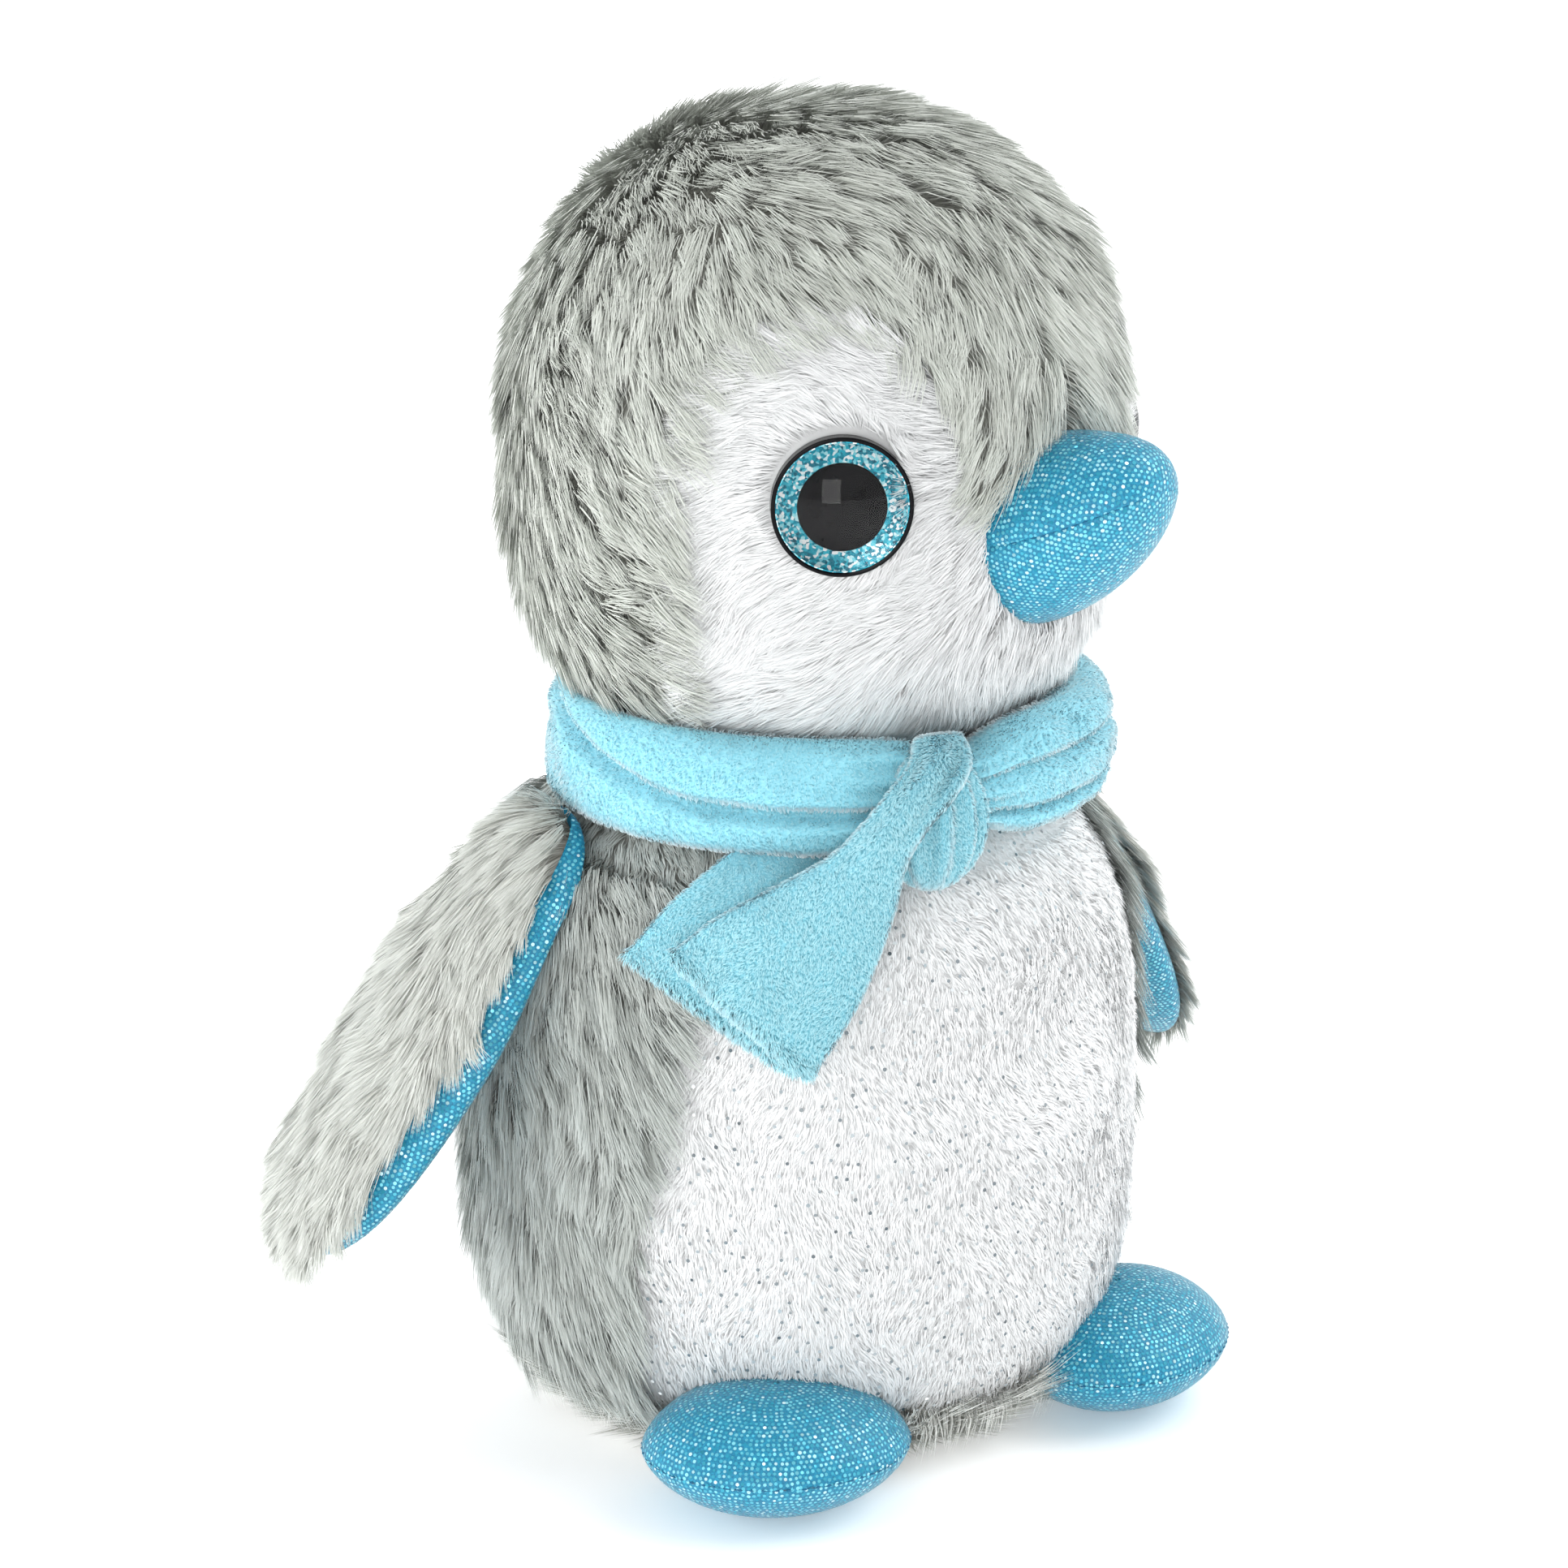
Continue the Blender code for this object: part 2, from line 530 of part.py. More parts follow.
def wing_rows(side, arounds, scale=(1.0, 1.0, 1.0)):
    """Rings of a wing from shoulder to tip, as a scaled copy of its outer form."""
    width_scale, thickness_scale, length_scale = scale
    root, tip = Vector(SHOULDER), Vector(WING_TIP)
    along = tip - root
    length = along.length
    along.normalize()
    across = Vector((0.0, -1.0, 0.0))
    across = (across - along * across.dot(along)).normalized()
    out = along.cross(across)
    out = out if out.x > 0 else -out
    rows = []
    for share in WING_ROWS:
        taper = math.sqrt(1.0 - share ** WING_BLUNTNESS)
        half_width = WING_HALF_WIDTH * (0.74 + 0.26 * smooth(share / 0.45)) * taper
        outer_half = WING_OUTER_HALF * (0.4 + 0.6 * smooth(share / 0.35)) * taper
        inner_half = WING_INNER_HALF * (0.25 + 0.75 * smooth(share / 0.55)) * taper
        centre = root + along * (length * share * length_scale)
        row = []
        for around in arounds:
            turn = math.radians(around)
            half = outer_half if math.sin(turn) > 0 else inner_half
            point = centre + across * (half_width * width_scale * math.cos(turn))
            point += out * (half * thickness_scale * math.sin(turn))
            row.append(Vector((side * point.x, point.y, point.z)))
        rows.append(row)
    return rows


def build_wings(root):
    """Grey outer cloth, blue inner cloth and stuffing of each wing."""
    gap = WING_SEAM_GAP / 2
    spans = {"outer": (WING_FRONT_SEAM + gap, WING_REAR_SEAM - gap, WING_OUTER_COLUMNS, "grey_fur"),
             "inner": (WING_REAR_SEAM + gap, WING_FRONT_SEAM + 360.0 - gap, WING_INNER_COLUMNS, "sparkle")}
    for side, label in ((1, "left"), (-1, "right")):
        shoulder = (side * SHOULDER[0], SHOULDER[1], SHOULDER[2])
        joint = pivot("pivot_wing_" + label, shoulder, root)
        for part, (start, end, columns, kind) in spans.items():
            arounds = steps(start, end, columns)
            half = shell_mesh(wing_rows(side, arounds), wing_rows(side, arounds, WING_CLOTH_SCALE))
            make_object("wing_" + part + "_" + label, half, joint, kind, shoulder)
        arounds = steps(0.0, 360.0, SHORT_RING_FACETS)[:-1]
        stuffing = solid_mesh(wing_rows(side, arounds, WING_STUFFING_SCALE))
        make_object("wing_stuffing_" + label, stuffing, joint, "stuffing", shoulder)


def build_feet(root):
    """Upper, sole and stuffing of each foot, hinged where the foot is sewn to the body."""
    body_rows = form_rows(BODY, steps(-88.0, 20.0, 14), -0.8, 36)
    for side, label in ((1, "left"), (-1, "right")):
        centre = Vector((side * FOOT_CENTRE[0], FOOT_CENTRE[1], 0.0))
        forward = unit(side * FOOT_SPLAY)
        hinge = centre - forward * FOOT_HINGE_BACK + Vector((0.0, 0.0, FOOT_HINGE_HEIGHT))
        joint = pivot("pivot_foot_" + label, hinge, root)
        place = Matrix.Translation(centre) @ Matrix.Rotation(math.radians(side * FOOT_SPLAY), 4, "Z")
        place = place @ Matrix.Diagonal((FOOT_WIDTH_SCALE, FOOT_LENGTH_SCALE, 1.0, 1.0))

        body_at_rest = make_object("cutter_body_" + label, solid_mesh(body_rows), joint, None, hinge)
        axis = forward.cross(Vector((0.0, 0.0, 1.0)))
        tilt = Matrix.Rotation(math.radians(-FOOT_LIFT), 4, axis)
        tilt = Matrix.Translation(hinge) @ tilt @ Matrix.Translation(-hinge)
        tilted_rows = [[tilt @ point for point in row] for row in body_rows]
        body_tilted = make_object("cutter_lift_" + label, solid_mesh(tilted_rows), joint, None, hinge)

        spans = (("upper", steps(0.8, 90.0, 5)), ("sole", steps(-90.0, -0.8, 4)))
        pieces = []
        for part, angles in spans:
            sheets = []
            for depth in (0.0, FOOT_CLOTH):
                rows = form_rows(FOOT, angles, depth, RING_FACETS)
                sheets.append([[place @ point for point in row] for row in rows])
            half = shell_mesh(*sheets, closed=True)
            pieces.append(make_object("foot_" + part + "_" + label, half, joint, "sparkle", hinge))
        rows = form_rows(FOOT, steps(-88.0, 88.0, 7), FOOT_CLOTH + FIT_GAP, RING_FACETS)
        stuffing = solid_mesh([[place @ point for point in row] for row in rows])
        pieces.append(make_object("foot_stuffing_" + label, stuffing, joint, "stuffing", hinge))
        for piece in pieces:
            cut(piece, body_at_rest)
            cut(piece, body_tilted)


def quadratic(points, share):
    """Point of the curve that passes through three points at shares 0, 0.5 and 1."""
    weights = ((1 - share) * (1 - 2 * share), 4 * share * (1 - share), share * (2 * share - 1))
    return [sum(weight * point[axis] for weight, point in zip(weights, points)) for axis in (0, 1)]


def tail_rows(tail, extra, rows=6, columns=5):
    """Rows of points of a scarf tail, laid over the body at its lift plus an extra height."""
    sheet = []
    for share in steps(0.0, 1.0, rows):
        left, right = quadratic(tail["left"], share), quadratic(tail["right"], share)
        lift = tail["lift"][1] + (tail["lift"][0] - tail["lift"][1]) * (1 - share) ** 2 + extra
        row = []
        for across in steps(0.0, 1.0, columns):
            azimuth = left[0] + (right[0] - left[0]) * across
            height = left[1] + (right[1] - left[1]) * across
            row.append(form_point(BODY, azimuth, angle_at_height(BODY, height), -lift))
        sheet.append(row)
    return sheet


def build_scarf(root):
    """Band round the neck, the knot in front and the two tails that hang from it."""
    azimuths = steps(KNOT_AZIMUTH + BAND_OPENING, KNOT_AZIMUTH + 360.0 - BAND_OPENING, BAND_COLUMNS)
    bm = bmesh.new()
    rings = [[unit(azimuth) * radius + Vector((0.0, -forward, height))
              for radius, height, forward in BAND_SECTION] for azimuth in azimuths]
    grid = add_sheet(bm, rings, True)
    bm.faces.new(grid[0])
    bm.faces.new(grid[-1])
    make_object("scarf_band", bm, root, "scarf")

    place = Matrix.Translation(unit(KNOT_AZIMUTH) * KNOT_CENTRE_RADIUS + Vector((0.0, 0.0, KNOT_HEIGHT)))
    place = place @ Matrix.Rotation(math.radians(KNOT_AZIMUTH), 4, "Z")
    place = place @ Matrix.Diagonal((*KNOT_HALF_SIZE, 1.0))
    bm = bmesh.new()
    bmesh.ops.create_uvsphere(bm, u_segments=14, v_segments=8, radius=1.0, matrix=place)
    make_object("scarf_knot", bm, root, "scarf")

    out = unit(TAIL_AXIS_AZIMUTH)
    hinge = out * TAIL_AXIS_RADIUS + Vector((0.0, 0.0, TAIL_AXIS_HEIGHT))
    for name, tail in (("front", FRONT_TAIL), ("rear", REAR_TAIL)):
        joint = pivot("pivot_tail_" + name, hinge, root)
        bm = shell_mesh(tail_rows(tail, TAIL_CLOTH), tail_rows(tail, 0.0))
        make_object("scarf_tail_" + name, bm, joint, "scarf", hinge)


def main():
    """Build the toy in an empty scene."""
    for leftover in list(bpy.data.objects):
        bpy.data.objects.remove(leftover, do_unlink=True)
    root = pivot("pivot_body", (0.0, BODY_Y, 0.0))
    neck = pivot("pivot_head", (0.0, HEAD_Y, NECK_HEIGHT), root, HEAD_TURN)
    build_body(root)
    build_head(neck)
    build_wings(root)
    build_feet(root)
    build_scarf(root)


main()
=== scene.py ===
"""Looks of a seated plush penguin with a scarf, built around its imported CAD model.

Shapes are worked out in millimetres, as arrays of points, in one of two frames: the body's, which
stands on the body's axis, and the head's, which is that frame turned about the neck. Both face -Y.
An azimuth runs from the front towards +X, an elevation angle from a form's equator to its top.
"""

import math
from collections import namedtuple

import bpy
import numpy as np
from mathutils import Matrix, Vector, kdtree, noise


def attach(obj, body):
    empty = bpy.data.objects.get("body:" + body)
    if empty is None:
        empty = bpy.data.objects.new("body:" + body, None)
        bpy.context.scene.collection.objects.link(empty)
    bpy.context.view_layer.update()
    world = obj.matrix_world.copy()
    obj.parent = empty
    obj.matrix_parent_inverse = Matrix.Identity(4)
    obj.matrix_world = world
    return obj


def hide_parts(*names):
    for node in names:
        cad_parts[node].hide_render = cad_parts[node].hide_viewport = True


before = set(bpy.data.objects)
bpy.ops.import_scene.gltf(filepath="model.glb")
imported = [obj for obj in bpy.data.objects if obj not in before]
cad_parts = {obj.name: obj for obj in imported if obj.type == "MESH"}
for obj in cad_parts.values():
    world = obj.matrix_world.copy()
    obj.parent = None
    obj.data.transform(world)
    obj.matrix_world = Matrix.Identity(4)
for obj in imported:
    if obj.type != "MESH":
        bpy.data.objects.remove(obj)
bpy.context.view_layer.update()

MM = 0.001
SPARSE = 1
SIDES = ((1, "left"), (-1, "right"))

# Forms of the body, head, foot and bean bag; fur and filling round the CAD model's forms out a little
NECK_RADIUS, NECK_HEIGHT, NECK_BLEND = 30.0, 129.0, 8.0
Form = namedtuple("Form", "radius middle top bottom square_top square_bottom neck_side")
BODY = Form(60.4, 62.5, 67.5, 64.5, 2.6, 3.7, 1)
HEAD = Form(54.0, 182.3, 56.5, 56.5, 2.2, 2.7, -1)
FOOT = Form(22.0, 11.6, 11.4, 11.6, 2.3, 2.3, 0)
BAG = Form(33.0, 13.0, 12.0, 8.5, 2.4, 2.6, 0)
BODY_Y, HEAD_Y, HEAD_TURN = 7.87, -3.7, 15.0
BELLY_SEAM = ((14.0, 34.0, 50.0, 74.0, 89.0, 129.0), (69.5, 67.0, 65.5, 60.8, 58.5, 50.0))
BASE_SEAM_HEIGHT = 14.5
FACE_AZIMUTH, FACE_RADIUS, FACE_SIDE_SPREAD, FACE_PEAK_BOTTOM = 50.0, 28.0, 4.5, -12.0
EYE_AZIMUTH, EYE_ELEVATION, EYE_SEAT_DEPTH = 47.0, -0.4, 3.2
EYE_RADIUS, PUPIL_RADIUS, LENS_RADIUS, LENS_HEIGHT = 12.0, 7.3, 11.0, 3.8
BEAK_START, BEAK_END, BEAK_SIDE, BEAK_UP = 44.0, 74.5, 18.3, 17.2
BEAK_DROPS, BEAK_SQUARE, BEAK_CURL = (-11.5, -0.8), 2.15, 1.6
BEAK_ROOT, BEAK_COVER = np.array((0.0, -50.0, 172.0)), (16.4, 15.2, 172.6)
SHOULDER, WING_TIP = np.array((51.3, 5.0, 113.5)), np.array((98.0, 19.0, 42.0))
WING_HALF_WIDTH, WING_HALF_DEPTH, WING_BLUNTNESS = 19.0, 7.0, 6.0
WING_FRONT_SEAM, WING_REAR_SEAM = 43.0, 180.0
WING_CAP, WING_ROUND = 0.06, 0.12      # shares of the length: above the shoulder, and rounded below it
FOOT_CENTRE, FOOT_SPLAY, FOOT_STRETCH = (39.0, -44.6), 24.5, (24.0 / 22.0, 20.0 / 22.0)
KNOT_AZIMUTH, KNOT_RADIUS, KNOT_HEIGHT, KNOT_HALF_SIZE = -13.5, 55.5, 124.8, (9.0, 8.6, 12.5)
DOT_PITCH, DOT_RADIUS, DOT_LIFT = 0.98, 0.33, 0.05
CAMERA_DIRECTION, CAMERA_DISTANCE, CAMERA_AIM_HEIGHT = (-36.4, 17.6), 0.907, 0.110    # degrees, metres
LENS, LENS_SHIFT = 114.6, (-0.0129, 0.016)
DOWN = np.array((0.0, 0.0, -1.0))
LOWEST = 0.05                          # least height of the body's fur above the floor

BODY_FRAME = Matrix.Translation((0.0, BODY_Y * MM, 0.0)) @ Matrix.Scale(MM, 4)
HEAD_FRAME = (Matrix.Translation((0.0, (BODY_Y + HEAD_Y) * MM, 0.0))
              @ Matrix.Rotation(math.radians(HEAD_TURN), 4, "Z") @ Matrix.Scale(MM, 4))

# Piles. Lengths and widths in mm, angles in degrees. A clump's strands lean together by its pull.
Pile = namedtuple("Pile", "length rise width per_clump pull stray clump_stray clump_rise depth glint")
LONG = Pile(12.5, 46.0, 0.24, 44, 0.3, 8.0, 10.0, 4.0, 1.9, 0.3)
FACE = Pile(8.5, 44.0, 0.22, 30, 0.24, 10.0, 9.0, 4.0, 1.8, 0.22)
SHORT = Pile(3.8, 52.0, 0.24, 16, 0.15, 14.0, 12.0, 4.0, 1.1, 0.1)
VELOUR = Pile(1.2, 62.0, 0.22, 12, 0.2, 20.0, 12.0, 5.0, 0.1, 0.08)


def stacked(x, y, z):
    """Points from their coordinates, spread to one shape."""
    return np.stack(np.broadcast_arrays(x, y, z), -1)


def unit(azimuth, elevation=0.0):
    """Directions for azimuths from the front and elevations."""
    turn, rise = np.radians(azimuth), np.radians(elevation)
    level = np.cos(rise)
    return stacked(np.sin(turn) * level, -np.cos(turn) * level, np.sin(rise))


def normalised(vectors):
    """Vectors at unit length."""
    return vectors / np.maximum(np.linalg.norm(vectors, axis=-1, keepdims=True), 1e-9)


def along(vectors, normals):
    """Unit vectors in the surface, from vectors in any direction."""
    return normalised(vectors - normals * np.sum(vectors * normals, -1, keepdims=True))


def turned(vectors, normals, degrees):
    """Vectors in the surface, turned about its normals."""
    angle = np.radians(degrees)[..., None]
    return vectors * np.cos(angle) + np.cross(normals, vectors) * np.sin(angle)


def ease(share):
    """Ease from 0 to 1."""
    share = np.clip(share, 0.0, 1.0)
    return share * share * (3.0 - 2.0 * share)


def bell(away, width):
    """A smooth bump, from 1 in its middle towards 0 beyond its width."""
    return np.exp(-(away / width) ** 2)


def ripple(points, size, seed):
    """Smooth noise from -1 to 1 over points, with features of a size in mm."""
    shift = Vector((seed * 13.7, seed * 5.1, seed * 7.9))
    return np.array([noise.noise(Vector(point) / size + shift) for point in points])


def spun(place, azimuth):
    """Places turned about the vertical by an azimuth."""
    turn = math.radians(azimuth)
    return place @ np.array(((math.cos(turn), math.sin(turn), 0.0), (-math.sin(turn), math.cos(turn), 0.0),
                             (0.0, 0.0, 1.0)))


def lengths(line):
    """Distance along a line of points, up to each of them."""
    return np.concatenate([[0.0], np.cumsum(np.linalg.norm(np.diff(line, axis=0), axis=1))])


def between(line, at):
    """Points of a line at fractional indices."""
    low = np.minimum(at.astype(int), len(line) - 2)
    return line[low] + (line[low + 1] - line[low]) * (at - low)[:, None]


def dice(name):
    """Random generator of a piece, from its name."""
    return np.random.default_rng(sum(map(ord, name)))


def outline(form, angle):
    """Radii and heights of a round form's outline at elevation angles."""
    across, up = np.cos(np.radians(angle)), np.sin(np.radians(angle))
    power = np.where(up > 0, 2.0 / form.square_top, 2.0 / form.square_bottom)
    reach = np.where(up > 0, form.top, form.bottom)
    radius = form.radius * np.sign(across) * np.abs(across) ** power
    height = form.middle + reach * np.sign(up) * np.abs(up) ** power
    necked = (np.abs(radius) ** NECK_BLEND + NECK_RADIUS ** NECK_BLEND) ** (1.0 / NECK_BLEND)
    radius = np.where(up * form.neck_side > 0, necked, radius)
    return radius, np.maximum(height, 0.0)


def form_grid(form, angles, azimuths):
    """Layers of a form's surface over angles and azimuths: place, normal, azimuth and angle."""
    angles, azimuths = np.broadcast_arrays(angles, azimuths)
    below, above = outline(form, angles - 0.5), outline(form, angles + 0.5)
    out, rise = above[1] - below[1], above[0] - below[0]
    length = np.hypot(out, rise)
    radius, height = outline(form, angles)
    around = unit(azimuths)
    up = np.array((0.0, 0.0, 1.0))
    place = around * radius[..., None] + up * height[..., None]
    normal = around * (out / length)[..., None] - up * (rise / length)[..., None]
    return np.concatenate([place, normal, azimuths[..., None], angles[..., None]], -1)


def sunk(grid, depth):
    """Places of a grid, moved below its surface."""
    return grid[..., :3] - grid[..., 3:6] * np.asarray(depth)[..., None]


def angle_at(form, height):
    """Elevation angles at which a form's outline reaches heights."""
    up = height > form.middle
    share = np.abs(height - form.middle) / np.where(up, form.top, form.bottom)
    power = np.where(up, form.square_top, form.square_bottom) / 2.0
    angle = np.degrees(np.arcsin(np.clip(share, 0.0, 1.0) ** power))
    return np.where(up, angle, -angle)


def panel(form, angles, start, end, columns):
    """Grid of a form between two azimuths, each given for every angle."""
    share = np.linspace(0.0, 1.0, columns)
    start = np.broadcast_to(start, angles.shape)[:, None]
    end = np.broadcast_to(end, angles.shape)[:, None]
    return form_grid(form, angles[:, None], start + (end - start) * share)


def surface_normals(place, closed):
    """Normals of a grid of places, by differences; closed grids join up along their columns."""
    down = np.gradient(place, axis=0)
    if closed:
        across = np.roll(place, -1, 1) - np.roll(place, 1, 1)
    else:
        across = np.gradient(place, axis=1)
    return normalised(np.cross(across, down))


def sample(rng, grid, count):
    """Layers of a grid at points spread evenly over its area."""
    corners = grid[:-1, :-1], grid[:-1, 1:], grid[1:, 1:], grid[1:, :-1]
    first, second, third, fourth = (corner.reshape(-1, grid.shape[-1]) for corner in corners)
    area = np.linalg.norm(np.cross((third - first)[:, :3], (fourth - second)[:, :3]), axis=1)
    reach = np.cumsum(area) / area.sum()
    picks = np.searchsorted(reach, (np.arange(count) + rng.random(count)) / count)
    picks = np.minimum(picks, len(area) - 1)
    u, v = rng.random((2, count, 1))
    found = (first[picks] * (1 - u) * (1 - v) + second[picks] * u * (1 - v)
             + third[picks] * u * v + fourth[picks] * (1 - u) * v)
    rng.shuffle(found)
    return found


def grid_faces(rows, columns, closed=False, start=0):
    """Quads of a grid of vertices, each row after the one before."""
    row = np.arange(rows - 1)[:, None] * columns
    column = np.arange(columns if closed else columns - 1)[None, :]
    after = (column + 1) % columns
    quads = np.stack([row + column, row + after, row + columns + after, row + columns + column], -1)
    return quads.reshape(-1, 4) + start


def linked(name, data):
    """New object in the scene."""
    made = bpy.data.objects.new(name, data)
    bpy.context.scene.collection.objects.link(made)
    return made


def add_piece(name, points, quads, tris, body, material, cad_nodes=(), uv=None, normals=None,
              within=None):
    """Piece of a mesh given in mm, in its body's frame or within a place there, that rides on the body."""
    place = HEAD_FRAME if body == "head" else BODY_FRAME
    if within is not None:
        place = place @ within
    mesh = bpy.data.meshes.new(name)
    mesh.vertices.add(len(points))
    mesh.vertices.foreach_set("co", np.asarray(points, np.float32).ravel())
    quads, tris = np.asarray(quads, int).reshape(-1, 4), np.asarray(tris, int).reshape(-1, 3)
    corners = np.concatenate([quads.ravel(), tris.ravel()])
    sizes = np.concatenate([np.full(len(quads), 4), np.full(len(tris), 3)])
    mesh.loops.add(len(corners))
    mesh.loops.foreach_set("vertex_index", corners)
    mesh.polygons.add(len(sizes))
    mesh.polygons.foreach_set("loop_start", np.concatenate([[0], np.cumsum(sizes)[:-1]]))
    mesh.polygons.foreach_set("use_smooth", np.ones(len(sizes), bool))
    mesh.update(calc_edges=True)
    if uv is not None:
        layer = mesh.uv_layers.new(name="OFBake")
        layer.data.foreach_set("uv", np.asarray(uv, np.float32)[corners].ravel())
    mesh.transform(place)
    if normals is not None:
        spin = np.array(place.to_3x3()) / MM
        mesh.normals_split_custom_set_from_vertices(normalised(normals @ spin.T))
    mesh.materials.append(material)
    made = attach(linked(name, mesh), body)
    if cad_nodes:
        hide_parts(*cad_nodes)
    return made


# ---- materials

def node(tree, kind, **values):
    """Shader node with its inputs and properties set."""
    made = tree.nodes.new(kind)
    for key, value in values.items():
        if key in made.inputs:
            made.inputs[key].default_value = value
        else:
            setattr(made, key, value)
    return made


def ramp(tree, factor, stops):
    """Colours along a factor, from stops of position and colour."""
    made = node(tree, "ShaderNodeValToRGB")
    elements = made.color_ramp.elements
    for index, (position, colour) in enumerate(stops):
        element = elements[index] if index < 2 else elements.new(position)
        element.position = position
        element.color = (*colour, 1.0)
    tree.links.new(factor, made.inputs["Fac"])
    return made.outputs["Color"]


def multiplied(tree, first, second):
    """Product of two colours."""
    made = node(tree, "ShaderNodeMix", data_type="RGBA", blend_type="MULTIPLY")
    made.inputs["Factor"].default_value = 1.0
    tree.links.new(first, made.inputs["A"])
    tree.links.new(second, made.inputs["B"])
    return made.outputs["Result"]


def principled(name, **values):
    """New material's node tree and shader, with constant values on the shader's own sockets."""
    made = bpy.data.materials.new(name)
    made.use_nodes = True
    shader = made.node_tree.nodes["Principled BSDF"]
    for key, value in values.items():
        shader.inputs[key.replace("_", " ")].default_value = value
    return made, made.node_tree, shader


def pile_material(name, along_strand, over_strands, sheen=0.0, **values):
    """Fibres coloured from root to tip, and from strand to strand."""
    defaults = {"Roughness": 0.75, "Sheen_Roughness": 0.45, "Specular_IOR_Level": 0.25}
    made, tree, shader = principled(name, **{**defaults, **values}, Sheen_Weight=sheen)
    place = node(tree, "ShaderNodeUVMap", uv_map="OFBake")
    split = node(tree, "ShaderNodeSeparateXYZ")
    tree.links.new(place.outputs["UV"], split.inputs["Vector"])
    colour = multiplied(tree, ramp(tree, split.outputs["Y"], along_strand),
                        ramp(tree, split.outputs["X"], over_strands))
    tree.links.new(colour, shader.inputs["Base Color"])
    return made


def pattern_node(tree, kind, size):
    """Texture of a size in mm that sticks to the object."""
    place = node(tree, "ShaderNodeTexCoord")
    made = node(tree, kind, Scale=1.0 / (size * MM))
    tree.links.new(place.outputs["Object"], made.inputs["Vector"])
    return made


def add_relief(tree, shader, height, strength, depth):
    """Relief of a depth in mm on a shader, from heights."""
    relief = node(tree, "ShaderNodeBump", Strength=strength, Distance=depth * MM)
    tree.links.new(height, relief.inputs["Height"])
    tree.links.new(relief.outputs["Normal"], shader.inputs["Normal"])


def surface_material(name, low, high, size, bump, kind="ShaderNodeTexNoise", **values):
    """Surface whose colour and relief follow a fine pattern of a size in mm."""
    made, tree, shader = principled(name, **values)
    pattern = pattern_node(tree, kind, size)
    height = pattern.outputs["Distance" if kind == "ShaderNodeTexVoronoi" else "Fac"]
    tree.links.new(ramp(tree, height, ((0.3, low), (0.7, high))), shader.inputs["Base Color"])
    add_relief(tree, shader, height, 0.6, bump)
    return made


def glitter_material():
    """Flakes of many colours and tilts under clear plastic, each from dark to white: partly the flakes' own
    colours, partly painted glints.
    """
    made, tree, shader = principled("glitter_flakes_painted_glints", Metallic=0.3, Roughness=0.25)
    flakes = pattern_node(tree, "ShaderNodeTexVoronoi", 0.5)
    split = node(tree, "ShaderNodeSeparateColor")
    tree.links.new(flakes.outputs["Color"], split.inputs["Color"])
    # Brightness per flake up to white: partly the flakes' own colours, partly painted glints.
    shades = ((0.0, (0.0, 0.10, 0.16)), (0.3, (0.0, 0.30, 0.42)), (0.55, (0.03, 0.52, 0.66)),
              (0.75, (0.35, 0.82, 0.90)), (0.88, (0.95, 1.0, 1.0)))
    tree.links.new(ramp(tree, split.outputs["Red"], shades), shader.inputs["Base Color"])
    add_relief(tree, shader, split.outputs["Green"], 0.7, 0.5)
    return made


def fur_material(name, stops, shades, darkest, sheen=0.3):
    """Fur with shades at stops from root to tip, darker towards the roots as painted shade among the
    strands, whose strands vary at random from a darkest tint to white.
    """
    return pile_material(name, tuple(zip(stops, shades)), ((0.0, darkest), (1.0, WHITE)), sheen)


WHITE = (1.0, 1.0, 1.0)
GREY_STOPS, WHITE_STOPS = (0.0, 0.3, 0.62, 1.0), (0.0, 0.4, 1.0)
# Each fur below is darker at the roots, as painted shade among its strands.
GREY_FUR = fur_material(
    "grey_fur_fibres", GREY_STOPS,
    ((0.40, 0.405, 0.365), (0.53, 0.55, 0.505), (0.67, 0.705, 0.65), (0.81, 0.84, 0.79)),
    (0.86, 0.85, 0.84))
# A darker copy of the grey fur, as painted shade on the body under the wing and head.
BODY_FUR_PAINTED_SHADE = fur_material(
    "body_fur_painted_shade", GREY_STOPS,
    ((0.27, 0.28, 0.26), (0.40, 0.425, 0.40), (0.55, 0.59, 0.565), (0.74, 0.79, 0.765)), (0.82, 0.81, 0.79))
# A paler copy of the grey fur, as painted light from the floor on the shaded base.
BASE_FUR_PAINTED_LIGHT = fur_material(
    "base_fur_painted_light", GREY_STOPS,
    ((0.66, 0.66, 0.62), (0.78, 0.79, 0.75), (0.86, 0.88, 0.84), (0.93, 0.95, 0.92)), (0.90, 0.89, 0.88))
WING_FUR = fur_material(
    "wing_fur_fibres", GREY_STOPS,
    ((0.38, 0.37, 0.335), (0.53, 0.535, 0.49), (0.66, 0.685, 0.64), (0.84, 0.87, 0.83)), (0.88, 0.87, 0.86))
WHITE_FUR = fur_material(
    "white_fur_fibres", WHITE_STOPS,
    ((0.72, 0.73, 0.73), (0.84, 0.85, 0.85), (0.92, 0.93, 0.93)), (0.94, 0.94, 0.94), 0.2)
BELLY_FUR = fur_material(
    "belly_fur_fibres", WHITE_STOPS,
    ((0.92, 0.93, 0.93), (0.95, 0.96, 0.96), (0.97, 0.98, 0.98)), (0.96, 0.96, 0.96), 0.2)
